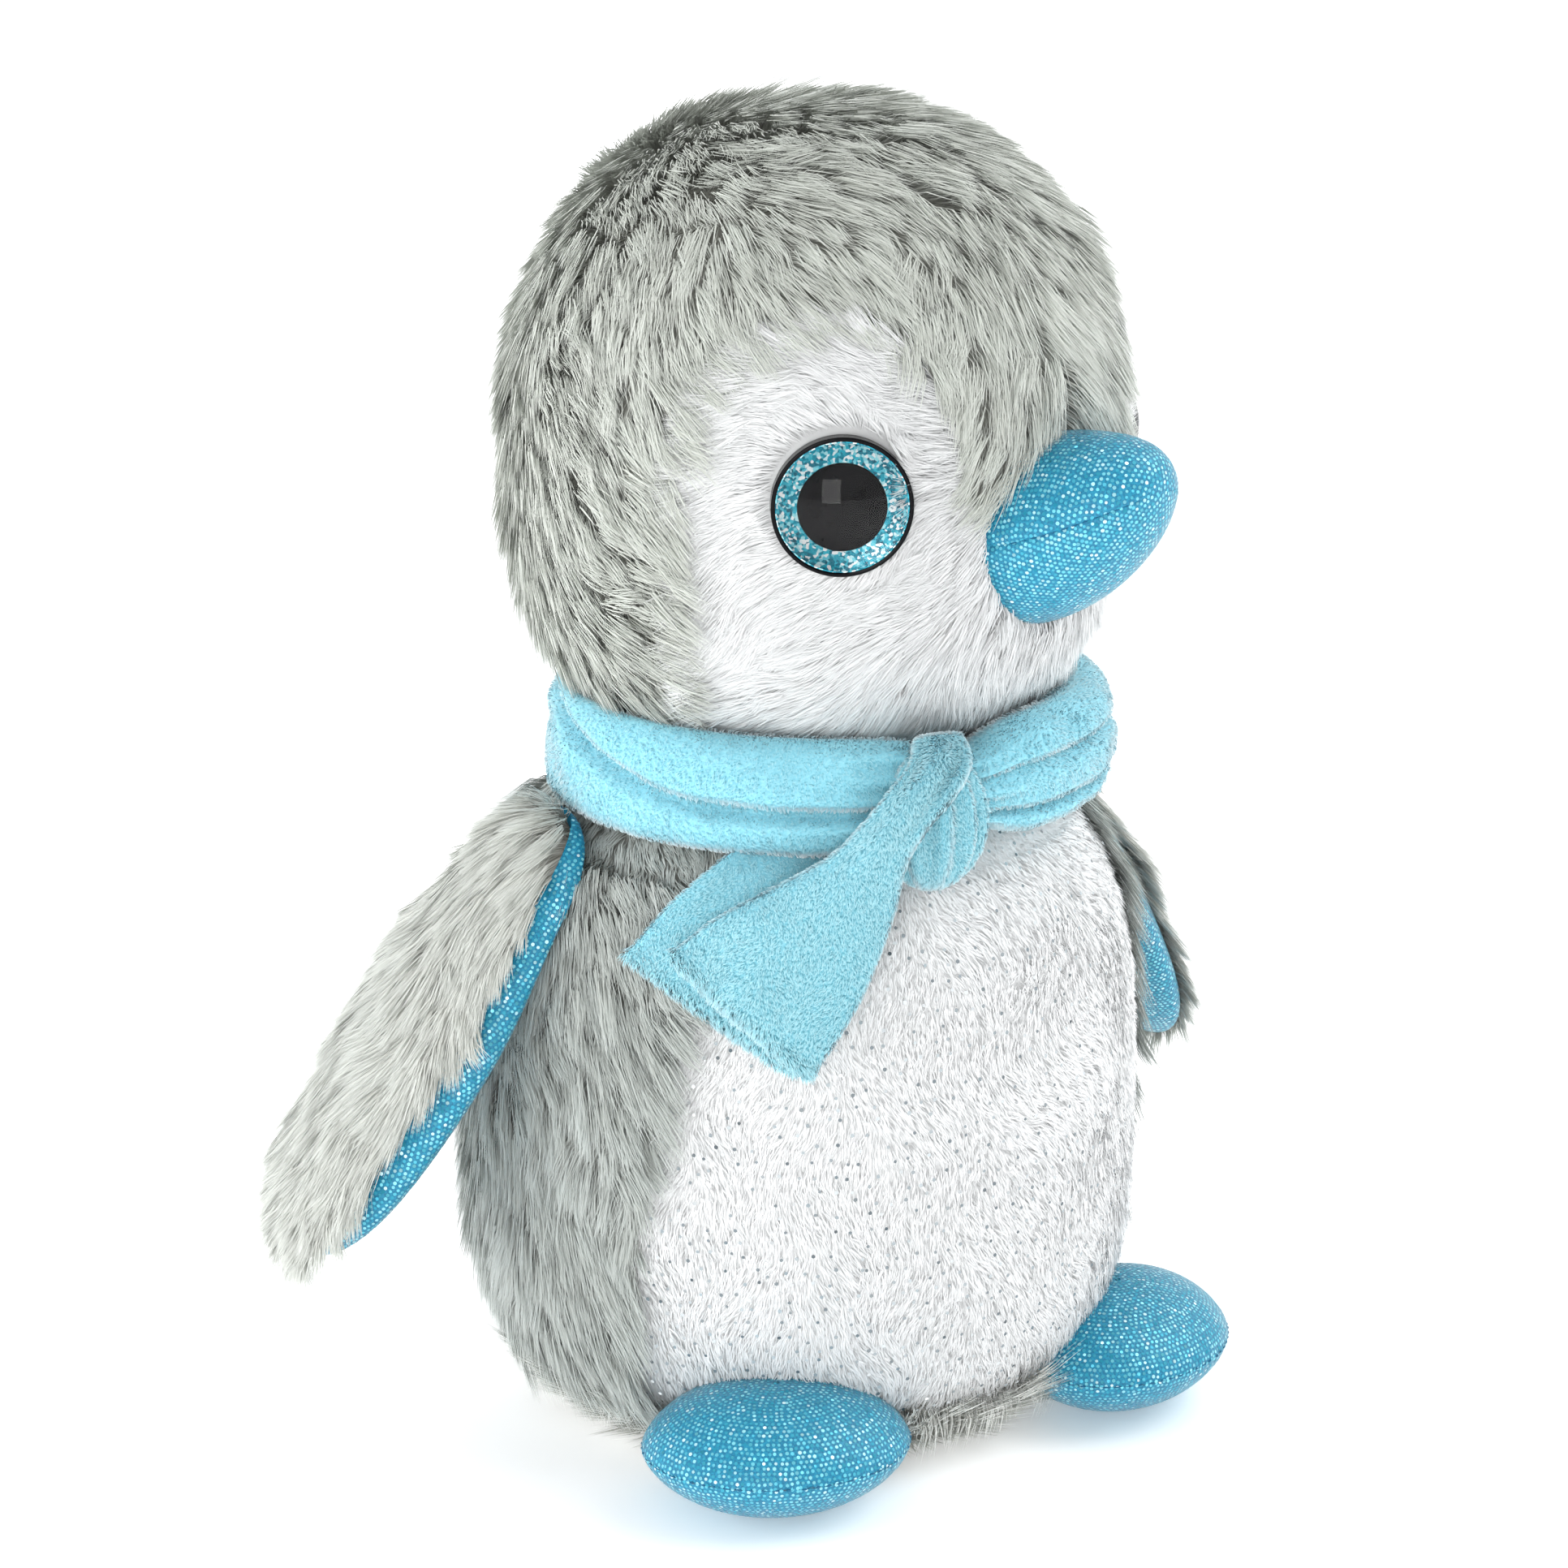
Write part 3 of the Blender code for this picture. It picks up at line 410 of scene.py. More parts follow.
# The velour's roots are deeper and its tips paler, as painted shade in its valleys and painted highlight on
# its ridges; strands vary at random towards white.
SCARF_PILE = fur_material(
    "scarf_velour_pile", (0.0, 0.5, 1.0),
    ((0.10, 0.46, 0.59), (0.27, 0.65, 0.75), (0.58, 0.85, 0.90)), (0.92, 0.96, 0.97), 0.8)
SCARF_CLOTH = surface_material(
    "scarf_velour_cloth", (0.24, 0.62, 0.74), (0.34, 0.72, 0.82), 0.5, 0.15,
    Roughness=0.9, Sheen_Weight=0.5, Sheen_Roughness=0.4)
BLUE_CLOTH = surface_material(
    "blue_knit", (0.003, 0.17, 0.31), (0.008, 0.27, 0.44), 0.42, 0.12, "ShaderNodeTexVoronoi",
    Roughness=0.5, Sheen_Weight=0.3, Sheen_Roughness=0.4)
# Each dot takes two random tones, from deep blue to white: partly the foil's own tone, partly painted
# glints.
FOIL = pile_material(
    "foil_dots", ((0.0, (0.16, 0.60, 0.72)), (0.6, (0.34, 0.80, 0.89)), (1.0, (0.80, 0.97, 1.0))),
    ((0.0, (0.12, 0.46, 0.58)), (0.35, (0.40, 0.72, 0.81)), (0.8, (0.80, 0.93, 0.95)), (1.0, WHITE)),
    Metallic=0.35, Roughness=0.3)
# Silver dots with random tones from dark grey to white: partly the foil's own tone, partly painted glints.
BELLY_FOIL_PAINTED_GLINTS = pile_material(
    "silver_foil_dots", ((0.0, (0.70, 0.74, 0.75)), (1.0, (0.95, 0.97, 0.97))),
    ((0.0, (0.20, 0.23, 0.25)), (0.6, (0.55, 0.59, 0.61)), (1.0, WHITE)), Metallic=0.35, Roughness=0.3)
THREAD = surface_material("blue_thread", (0.004, 0.09, 0.20), (0.01, 0.16, 0.30), 0.3, 0.1, Roughness=0.7)
BLACK_PLASTIC = surface_material("black_plastic", (0.002, 0.002, 0.003), (0.004, 0.004, 0.005), 3.0, 0.01,
                                 Roughness=0.15, Specular_IOR_Level=0.1)
GLITTER_WITH_PAINTED_GLINTS = glitter_material()
CLEAR = principled("clear_dome", Transmission_Weight=1.0, Roughness=0.0, IOR=1.2)[0]
FIBREFILL = surface_material("polyester_fibrefill", (0.80, 0.80, 0.79), (0.95, 0.95, 0.94), 2.5, 1.0,
                             Roughness=1.0, Sheen_Weight=0.3)
BAG_CLOTH = surface_material("bag_cloth", (0.70, 0.68, 0.63), (0.86, 0.84, 0.80), 0.6, 0.2, Roughness=0.9)
PELLET = surface_material("pellet_plastic", (0.78, 0.78, 0.75), (0.88, 0.88, 0.86), 1.5, 0.05,
                          Roughness=0.45)
WASHER = surface_material("washer_plastic", (0.84, 0.84, 0.82), (0.90, 0.90, 0.88), 1.0, 0.03,
                          Roughness=0.4)


# ---- pile

def strands(rng, roots, normals, combs, scale, pile):
    """Bent, tapering ribbons in leaning clumps: their points, normals, quads, tris and palette places."""
    count = len(roots)
    seeds = rng.choice(count, max(count // pile.per_clump, 1), replace=False)
    tree = kdtree.KDTree(len(seeds))
    for index, seed in enumerate(seeds):
        tree.insert(roots[seed], index)
    tree.balance()
    owner = np.array([tree.find(root)[1] for root in roots])
    lean = rng.normal(0.0, pile.clump_stray, len(seeds))[owner] + rng.normal(0.0, pile.stray, count)
    combs = turned(combs, normals, lean)
    clump_length = rng.uniform(0.8, 1.12, len(seeds))[owner]
    length = (pile.length * scale * clump_length * rng.uniform(0.78, 1.1, count))[:, None]
    rise = pile.rise + rng.normal(0.0, pile.clump_rise, len(seeds))[owner] + rng.normal(0.0, 5.0, count)
    rise = np.radians(np.clip(rise * (0.4 + 0.6 * scale), 6.0, 80.0))[:, None]
    middle = roots + length * 0.45 * (combs * np.cos(rise) + normals * np.sin(rise))
    tip = middle + length * 0.55 * (combs * np.cos(rise * 0.3) + normals * np.sin(rise * 0.3))
    middle = middle + 0.35 * pile.pull * (middle[seeds][owner] - middle)
    tip = tip + pile.pull * (tip[seeds][owner] - tip)
    side = turned(normalised(np.cross(combs, normals)), combs, rng.uniform(-40.0, 40.0, count))
    half = (side * pile.width / 2) * np.minimum(rng.uniform(0.7, 1.3, count), 1.2)[:, None]
    points = np.stack([roots - half, roots + half, middle + half * 0.9, middle - half * 0.9, tip], 1)
    shade = normalised(normals + pile.glint * side * rng.normal(0.0, 1.0, (count, 1)) + 0.15 * combs)
    shades = np.repeat(shade[:, None], 5, 1)
    start = np.arange(count)[:, None] * 5
    tone = rng.uniform(0.1, 0.9, len(seeds))[owner] * 0.55 + rng.random(count) * 0.45
    tone = np.clip(tone, 0.03, 0.97)
    # V runs from root to tip; the fur materials darken it towards the root as painted shade.
    uv = np.stack([np.repeat(tone[:, None], 5, 1), np.tile((0.04, 0.04, 0.5, 0.5, 0.96), (count, 1))], -1)
    return (points.reshape(-1, 3), shades.reshape(-1, 3), start + np.array((0, 1, 2, 3)),
            start + np.array((3, 2, 4)), uv.reshape(-1, 2))


def fur_panel(name, cad_node, body, grid, count, pile, material, comb, keep=None, sink=None):
    """Cloth of a panel with its pile, in place of a CAD node."""
    rng = dice(name)
    found = sample(rng, grid, count // SPARSE)
    if keep is not None:
        found = found[keep(found)]
    roots, normals = sunk(found, pile.depth), found[:, 3:6]
    combs, scale = comb(found)
    hair, shades, quads, tris, uv = strands(rng, roots, normals, along(combs, normals), scale, pile)
    rows, columns = grid.shape[:2]
    depth = np.full((rows, columns), pile.depth) if sink is None else pile.depth + sink(grid)
    skin = sunk(grid, depth).reshape(-1, 3)
    points = np.concatenate([skin, hair])
    if body == "body":
        points[:, 2] = np.maximum(points[:, 2], LOWEST)
    faces = np.concatenate([grid_faces(rows, columns), quads + len(skin)])
    # The cloth under the pile takes the roots' colour, with their painted shade.
    skin_uv = np.tile((0.5, 0.04), (len(skin), 1))
    shades = np.concatenate([grid[..., 3:6].reshape(-1, 3), shades])
    add_piece(name, points, faces, tris + len(skin), body, material, [cad_node],
              np.concatenate([skin_uv, uv]), shades)


def swirl(found, size, degrees, seed, vectors):
    """Vectors turned within the surface by smooth noise."""
    normals = found[:, 3:6]
    return turned(along(vectors, normals), normals, degrees * ripple(found[:, :3], size, seed))


def in_polygon(x, y, corners):
    """True where points lie inside a polygon."""
    inside = np.zeros(len(x), bool)
    for (x0, y0), (x1, y1) in zip(corners, corners[1:] + corners[:1]):
        crossing = (y0 > y) != (y1 > y)
        edge = x0 + (y - y0) * (x1 - x0) / (y1 - y0 + 1e-12)
        inside ^= crossing & (x < edge)
    return inside


# Edges of the scarf's tails from the knot to the end, as azimuth, height and radius in the body's frame
FRONT_LEFT = ((-16.0, 138.2, 54.0), (-19.0, 135.6, 60.0), (-23.5, 132.0, 63.4), (-27.5, 127.0, 64.0),
              (-32.5, 121.4, 63.5), (-40.5, 116.0, 63.0), (-50.0, 109.8, 63.5), (-57.3, 102.8, 64.4))
FRONT_RIGHT = ((-7.0, 138.2, 54.0), (-9.5, 135.0, 61.5), (-14.0, 131.4, 65.6), (-18.4, 126.6, 66.4),
               (-21.6, 120.4, 66.4), (-23.6, 110.6, 66.0), (-28.6, 96.0, 66.2), (-35.7, 82.9, 66.6))
REAR_LEFT = ((-46.0, 121.0, 49.0), (-52.4, 116.4, 52.4), (-60.1, 109.4, 56.2), (-67.8, 99.6, 59.4))
REAR_RIGHT = ((-21.0, 119.0, 50.0), (-26.7, 111.4, 57.0), (-31.3, 99.6, 60.8), (-38.0, 82.2, 63.0))
UNDER_SCARF = ((-20.0, 122.0), (-47.0, 122.0), (-67.0, 100.0), (-38.0, 83.0), (-24.0, 104.0),
               (-20.0, 112.0))


def pressed(found):
    """Share of its length that the body's pile keeps where the scarf presses it down."""
    covered = in_polygon(found[:, 6], found[:, 2], UNDER_SCARF)
    share = np.where(covered, 0.35, 1.0)
    return np.where(found[:, 2] > 112.0, np.minimum(share, 0.45), share)


# ---- body

def belly_edge(angles):
    """Azimuth of the seam between belly and back at elevation angles."""
    return np.interp(outline(BODY, angles)[1], *BELLY_SEAM)


def body_comb(found):
    """The long pile hangs down and sweeps forward."""
    scale = pressed(found) * (1.0 + 0.16 * ripple(found[:, :3], 14.0, 3))
    return swirl(found, 22.0, 45.0, 1, np.array((0.0, -0.55, -1.0))), scale


def belly_comb(found):
    """The short pile lies mostly down, with patches brushed aside."""
    return swirl(found, 16.0, 75.0, 2, DOWN), pressed(found)


def base_comb(found):
    """The base's pile points down and outwards, and is flat under the toy."""
    outward = found[:, :3] * np.array((0.9, 0.9, 0.0)) / 40.0 + 0.8 * DOWN
    flat = np.where(found[:, 2] < 2.0, 0.3, 1.0)
    return swirl(found, 18.0, 35.0, 4, outward), flat


def build_body():
    """Fur panels of the body and the belly's foil dots."""
    low, top = angle_at(BODY, BASE_SEAM_HEIGHT), angle_at(BODY, NECK_HEIGHT)
    angles = np.linspace(low + 0.3, top, 70)
    edge = belly_edge(angles)
    fur_panel("belly_panel_plush", "belly_panel", "body", panel(BODY, angles, -edge, edge, 80),
              60000, SHORT, BELLY_FUR, belly_comb)
    for side, label in SIDES:
        start, end = (edge, 180.0) if side > 0 else (-180.0, -edge)
        grid = panel(BODY, angles, start, end, 80)
        fur_panel("body_panel_plush_" + label, "body_panel_" + label, "body", grid,
                  60000, LONG, BODY_FUR_PAINTED_SHADE, body_comb)
    grid = panel(BODY, np.linspace(top, low + 0.3, 70), -edge[::-1], edge[::-1], 80)
    rng = np.random.default_rng(5)
    found = rows_of_dots(grid, 2.9)
    height = found[:, 2]
    shown = rng.random(len(found)) < np.interp(height, (20.0, 50.0, 115.0), (0.95, 0.75, 0.5))
    inside = np.abs(found[:, 6]) < belly_edge(found[:, 7]) - 3.0
    found = found[shown & inside & ~in_polygon(found[:, 6], height, UNDER_SCARF)]
    foil_dots("belly_dots", found, 0.36, 1.6, "body", BELLY_FOIL_PAINTED_GLINTS, tilt=0.35, jitter=0.45)
    angles = np.linspace(-89.5, low - 0.3, 40)
    base = form_grid(BODY, angles[:, None], np.linspace(0.0, 360.0, 97)[None, :])
    fur_panel("base_panel_plush", "base_panel", "body", base, 22000, LONG, BASE_FUR_PAINTED_LIGHT,
              base_comb, keep=lambda found: found[:, 2] > 0.6)


# ---- head

def in_face(azimuth, angle):
    """True where a white face panel covers the head."""
    half = np.sqrt(np.maximum(FACE_RADIUS ** 2 - angle ** 2, 0.0))
    inner, outer = face_edges(angle)
    across = np.abs(azimuth)
    return np.where(angle > 0, half > 0, True) & (across > inner) & (across < outer)


def face_edges(angle):
    """Inner and outer azimuth of a white face panel at elevation angles."""
    half = np.sqrt(np.maximum(FACE_RADIUS ** 2 - angle ** 2, 0.0))
    peak = np.interp(angle, (FACE_PEAK_BOTTOM, 0.0), (0.0, FACE_AZIMUTH - FACE_RADIUS))
    spread = FACE_SIDE_SPREAD * angle / float(angle_at(HEAD, NECK_HEIGHT))
    inner = np.where(angle > 0, FACE_AZIMUTH - half, peak)
    return inner, np.where(angle > 0, FACE_AZIMUTH + half, FACE_AZIMUTH + FACE_RADIUS + spread)


def eye_places(found):
    """Place of the eye on the same side of the head as each point."""
    side = np.where(found[:, 0] < 0, -1.0, 1.0)
    centre = unit(side * EYE_AZIMUTH, EYE_ELEVATION) * (HEAD.radius - EYE_SEAT_DEPTH)
    return centre + np.array((0.0, 0.0, HEAD.middle))


def off_beak(found):
    """True where the beak doesn't cover the head."""
    side, tall, height = BEAK_COVER
    across, up = found[:, 0] / side, (found[:, 2] - height) / tall
    return (across ** 2 + up ** 2 > 1.0) | (found[:, 1] > 0)


def crown_keep(found):
    """Grey pile grows outside the face panels and the beak."""
    return ~in_face(found[:, 6], found[:, 7]) & off_beak(found) & (found[:, 2] > NECK_HEIGHT + 3.0)


def face_keep(found):
    """White pile grows outside the eyes and the beak."""
    apart = np.linalg.norm(found[:, :3] - eye_places(found), axis=1)
    inside = np.abs(found[:, 6]) < face_edges(found[:, 7])[1] - 2.5
    return inside & (apart > EYE_RADIUS + 0.2) & off_beak(found) & (found[:, 2] > NECK_HEIGHT + 2.0)


def crown_comb(found):
    """The crown's pile hangs down and turns towards the nearest face panel."""
    towards = eye_places(found) - found[:, :3]
    nearby = 1.0 - ease((np.linalg.norm(towards, axis=1) - 28.0) / 34.0)
    combs = np.array((0.0, -1.2, -1.0)) + 1.1 * nearby[:, None] * normalised(towards)
    scale = 0.92 + 0.16 * ripple(found[:, :3], 15.0, 6)
    scale = scale * np.where(found[:, 2] < NECK_HEIGHT + 12.0, 0.75, 1.0)
    return swirl(found, 24.0, 42.0, 5, combs), scale


def face_comb(found):
    """The face's pile runs back from the beak and parts round the eye."""
    from_eye = found[:, :3] - eye_places(found)
    apart = np.linalg.norm(from_eye, axis=1)
    beside = 1.0 - ease((apart - EYE_RADIUS) / 9.0)
    back = normalised(found[:, :3] - BEAK_ROOT) + 0.4 * DOWN
    combs = back + 0.8 * beside[:, None] * normalised(from_eye)
    scale = (1.0 - 0.2 * beside) * (1.0 + 0.12 * ripple(found[:, :3], 10.0, 8))
    return swirl(found, 16.0, 40.0, 7, combs), scale


def build_head():
    """Fur panels of the head."""
    low = float(angle_at(HEAD, NECK_HEIGHT))
    angles = np.linspace(low, 89.5, 90)
    above = FACE_RADIUS * np.sin(np.radians(np.linspace(3, 89, 30)))
    rises = np.concatenate([np.linspace(low, 0.0, 30), above])
    inner, outer = face_edges(rises)
    for side, label in SIDES:
        span = (0.0, 180.0) if side > 0 else (-180.0, 0.0)
        fur_panel("crown_plush_" + label, "crown_" + label, "head", panel(HEAD, angles, *span, 90), 64000,
                  LONG, GREY_FUR, crown_comb, keep=crown_keep,
                  sink=lambda grid: np.where(in_face(grid[..., 6], grid[..., 7]), 1.6, 0.0))
        span = (inner, outer) if side > 0 else (-outer, -inner)
        fur_panel("face_plush_" + label, "face_" + label, "head", panel(HEAD, rises, *span, 60), 52000,
                  FACE, WHITE_FUR, face_comb, keep=face_keep)


# ---- smooth cloth, foil dots and seams

def faced(place, closed=False):
    """Layers of a surface given by its places, with its columns turned so that it faces out."""
    normal = surface_normals(place, closed)
    if np.sum(normal * (place - place.mean((0, 1)))) < 0:
        place = place[:, ::-1]
        normal = surface_normals(place, closed)
    return np.concatenate([place, normal], -1)


def rows_of_dots(grid, pitch):
    """Layers of a surface at points along its rows, a pitch apart and staggered."""
    travel = lengths(grid[:, grid.shape[1] // 2, :3])
    stops = np.arange(pitch * 0.4, travel[-1], pitch * 0.87)
    found = []
    for count, row_at in enumerate(np.interp(stops, travel, np.arange(len(travel)))):
        low = min(int(row_at), len(grid) - 2)
        row = grid[low] + (grid[low + 1] - grid[low]) * (row_at - low)
        reach = lengths(row[:, :3])
        places = np.arange(pitch * (0.25 + 0.5 * (count % 2)), reach[-1], pitch)
        found.append(between(row, np.interp(places, reach, np.arange(len(reach)))))
    return np.concatenate(found)


def foil_dots(name, found, radius, lift, body, material, tilt=0.2, jitter=0.07):
    """Round foil dots lying on a surface, each tilted a little by the cloth."""
    rng = dice(name)
    count = len(found)
    normals = normalised(found[:, 3:6])
    first = along(np.array((0.31, 0.52, 0.79)), normals)
    second = np.cross(normals, first)
    shift = rng.normal(0.0, jitter, (2, count, 1))
    centre = found[:, :3] + normals * lift + first * shift[0] + second * shift[1]
    size = (radius * rng.uniform(0.85, 1.12, count))[:, None]
    corners = [centre + size * (first * math.cos(angle) + second * math.sin(angle))
               for angle in np.radians(np.arange(0.0, 360.0, 60.0))]
    points = np.stack(corners, 1).reshape(-1, 3)
    start = np.arange(count)[:, None] * 6
    quads = np.concatenate([start + np.array((0, 1, 2, 3)), start + np.array((0, 3, 4, 5))])
    lean = normalised(normals + tilt * rng.normal(0.0, 1.0, (count, 3)))
    # Random tones set each dot's brightness, partly painted glints.
    tone = rng.uniform(0.02, 0.98, (count, 2))
    add_piece(name, points, quads, [], body, material,
              uv=np.repeat(tone, 6, 0), normals=np.repeat(lean, 6, 0))


def stitches(name, line, normals, pitch, body):
    """Short stitches of thread along a line on a surface."""
    travel = lengths(line)
    at = np.interp(np.arange(pitch / 2, travel[-1], pitch), travel, np.arange(len(travel)))
    centre, low = between(line, at), np.minimum(at.astype(int), len(line) - 2)
    ahead, up = normalised(line[low + 1] - line[low]), normals[low]
    side = np.cross(ahead, up)
    reach = ((ahead, 0.4 * pitch), (side, 0.26), (up, 0.24))
    tips = [centre + sign * size * way for way, size in reach for sign in (1, -1)]
    points = np.stack(tips, 1).reshape(-1, 3)
    corners = [(a, b, c) for a in (0, 1) for b in (2, 3) for c in (4, 5)]
    tris = np.array([c if (c[0] + c[1] + c[2]) % 2 == 0 else c[::-1] for c in corners])
    start = np.arange(len(centre))[:, None, None] * 6
    add_piece(name, points, [], (start + tris).reshape(-1, 3), body, THREAD)


def cloth_piece(name, cad_node, grid, body, material, closed=False):
    """Smooth padded cloth in place of a CAD node."""
    rows, columns = grid.shape[:2]
    made = add_piece(name, grid[..., :3].reshape(-1, 3), grid_faces(rows, columns, closed), [], body,
                     material, [cad_node], normals=grid[..., 3:6].reshape(-1, 3))


def dotted_cloth(name, cad_node, grid, body, keep=None):
    """Padded blue cloth in place of a CAD node, with rows of foil dots where they are kept."""
    cloth_piece(name, cad_node, grid, body, BLUE_CLOTH)
    from_rim = grid[::-1] if "sole" in name else grid
    found = rows_of_dots(from_rim, DOT_PITCH)
    if keep is not None:
        found = found[keep(found)]
    foil_dots(name.replace("cloth", "dots"), found, DOT_RADIUS, DOT_LIFT, body, FOIL)


def beak_place(share, around):
    """Places of the beak's surface at shares of its length and angles around it."""
    start, end = BEAK_DROPS
    drop = start + (end - start) * share ** BEAK_CURL
    size = np.maximum(1.0 - share ** BEAK_SQUARE, 0.0) ** (1.0 / BEAK_SQUARE)
    turn = np.radians(around)
    rise = np.sign(np.sin(turn)) * np.abs(np.sin(turn)) ** 1.15
    seam = bell(np.abs(np.sin(turn)), 0.05)
    across = (BEAK_SIDE * size - 0.5 * seam * size) * np.cos(turn)
    ahead = BEAK_START + (BEAK_END - BEAK_START) * share
    return stacked(across, -ahead, HEAD.middle + drop + BEAK_UP * size * rise)


def build_beak():
    """Both halves of the beak with foil dots, and the stitched seam between them."""
    share = np.sin(np.radians(np.linspace(0.0, 90.0, 60)))[:, None]
    for part, start in (("upper", 0.0), ("lower", -180.0)):
        grid = faced(beak_place(share, np.linspace(start, start + 180.0, 100)[None, :]))
        dotted_cloth("beak_cloth_" + part, "beak_" + part, grid, "head",
                     keep=lambda found: -found[:, 1] > 50.0)
    for side, label in SIDES:
        line = beak_place(np.linspace(0.35, 0.995, 80), np.full(80, 0.0 if side > 0 else 180.0))
        stitches("beak_stitches_" + label, line, np.tile((side * 1.0, 0.0, 0.0), (80, 1)), 1.9, "head")
    rings = beak_place(share, np.linspace(0.0, 360.0, 97)[None, :-1])
    fill_piece("beak_fibrefill", "beak_stuffing", rings, 0.84, "head")


def foot_grid(angles, side):
    """Surface of a foot over elevation angles, pinched and puckered at its rim seam."""
    grid = form_grid(FOOT, angles[:, None], np.linspace(0.0, 360.0, 145)[None, :])
    place = grid[..., :3].copy()
    near = np.exp(-(np.abs(grid[..., 7]) / 16.0) ** 1.5)
    pucker = np.cos(np.radians(grid[..., 6]) * 34.0) * near
    reach = np.minimum(np.hypot(place[..., 0], place[..., 1]) / FOOT.radius, 1.0)
    place[..., 2] = FOOT.middle + np.sign(grid[..., 7]) * FOOT.top * (1.0 - reach ** 2.3) ** 0.68
    place[..., 2] += 0.3 * pucker * np.sign(grid[..., 7])
    place[..., :2] *= (1.0 - 0.012 * np.abs(pucker))[..., None]
    stretched = place * np.array((*FOOT_STRETCH, 1.0))
    return spun(stretched, side * FOOT_SPLAY) + np.array((side * FOOT_CENTRE[0], FOOT_CENTRE[1], 0.0))


def build_feet():
    """Upper and sole of each foot with foil dots, and the stitched rim between them."""
    for side, label in SIDES:
        for part, start, end in (("upper", 0.0, 90.0), ("sole", -90.0, 0.0)):
            grid = faced(foot_grid(np.linspace(start, end, 50), side))
            dotted_cloth("foot_cloth_%s_%s" % (part, label), "foot_%s_%s" % (part, label), grid,
                         "foot_" + label, keep=lambda found: found[:, 2] > 0.5)
        rim = foot_grid(np.array((0.0, 1.0)), side)[0]
        centre = np.array((side * FOOT_CENTRE[0], FOOT_CENTRE[1], FOOT.middle))
        stitches("foot_stitches_" + label, rim, normalised(rim - centre), 2.2, "foot_" + label)
        rings = foot_grid(np.linspace(-89.0, 89.0, 60), side)[:, :-1]
        fill_piece("foot_fibrefill_" + label, "foot_stuffing_" + label, rings, 0.84, "foot_" + label)


# ---- wings

def wing_place(side, share, around):
    """Places of a wing's surface at shares of its length and angles around it."""
    share, around = np.broadcast_arrays(share, around)
    length = np.linalg.norm(WING_TIP - SHOULDER)
    ahead = (WING_TIP - SHOULDER) / length
    across = np.array((0.0, -1.0, 0.0))
    across = across - ahead * across.dot(ahead)
    across = across / np.linalg.norm(across)
    out = np.cross(ahead, across)
    out = out if out[0] > 0 else -out
    before = np.clip((WING_ROUND - share) / (WING_ROUND + WING_CAP), 0.0, 1.0)
    taper = np.sqrt(np.maximum((1.0 - share ** WING_BLUNTNESS) * (1.0 - before ** 2.4), 0.0))
    width = WING_HALF_WIDTH * (0.74 + 0.26 * ease(share / 0.45)) * taper
    outer = WING_HALF_DEPTH * (0.7 + 0.3 * ease(share / 0.35)) * taper
    inner = WING_HALF_DEPTH * (0.25 + 0.75 * ease(share / 0.55)) * taper
    turn = np.radians(around)
    depth = np.where(np.sin(turn) > 0, outer, inner) * np.sin(turn)
    place = (SHOULDER + share[..., None] * ahead * length + (width * np.cos(turn))[..., None] * across
             + depth[..., None] * out)
    mirror = np.array((side, 1.0, 1.0))
    return place * mirror, ahead * mirror


def build_wings():
    """Long fur outside each wing, dotted cloth inside, and its stuffing."""
    share = 0.5 - 0.5 * np.cos(np.linspace(0.0, math.pi, 90))[:, None]
    share = -WING_CAP + (1.0 + WING_CAP) * share
    for side, label in SIDES:
        around = np.linspace(WING_FRONT_SEAM, WING_REAR_SEAM, 50)[None, :]
        place, ahead = wing_place(side, share, around)
        grid = faced(place)
        shoulder = SHOULDER * np.array((side, 1.0, 1.0))

        def comb(found, side=side, ahead=ahead, shoulder=shoulder):
            reach = (found[:, :3] - shoulder) @ ahead
            spread = found[:, :3] - shoulder - reach[:, None] * ahead
            front = ease((-spread[:, 1] - 6.0) / 8.0)[:, None]
            combs = ahead + 0.02 * spread + np.array((0.0, 0.0, -0.2))
            combs = combs + front * np.array((side * -0.1, -0.35, 0.0))
            scale = 0.88 + 0.16 * ripple(found[:, :3], 12.0, 9)
            return swirl(found, 20.0, 40.0, 10, combs), scale

        fur_panel("wing_plush_" + label, "wing_outer_" + label, "wing_" + label, grid, 42000,
                  LONG, WING_FUR, comb)
        around = np.linspace(WING_REAR_SEAM, WING_FRONT_SEAM + 360.0, 70)[None, :]
        grid = faced(wing_place(side, share, around)[0])
        dotted_cloth("wing_cloth_" + label, "wing_inner_" + label, grid, "wing_" + label)
        rings = wing_place(side, share, np.linspace(0.0, 360.0, 61)[None, :-1])[0]
        fill_piece("wing_fibrefill_" + label, "wing_stuffing_" + label, rings, 0.6, "wing_" + label)


# ---- eyes

def turned_piece(name, cad_node, profile, eye, material):
    """Piece turned from a profile of radius and height, on an eye's axis."""
    angles = np.radians(np.linspace(0.0, 360.0, 97)[:-1])
    profile = np.array(profile)
    ring = np.stack([np.cos(angles), np.sin(angles)], -1)
    flat = profile[:, :1, None] * ring
    height = np.broadcast_to(profile[:, 1, None, None], (len(profile), len(angles), 1))
    local = np.concatenate([flat, height], -1).reshape(-1, 3)
    made = add_piece(name, local, grid_faces(len(profile), len(angles), True), [], "head", material,
                     [cad_node], within=eye)
    made.data.set_sharp_from_angle(angle=math.radians(35.0))


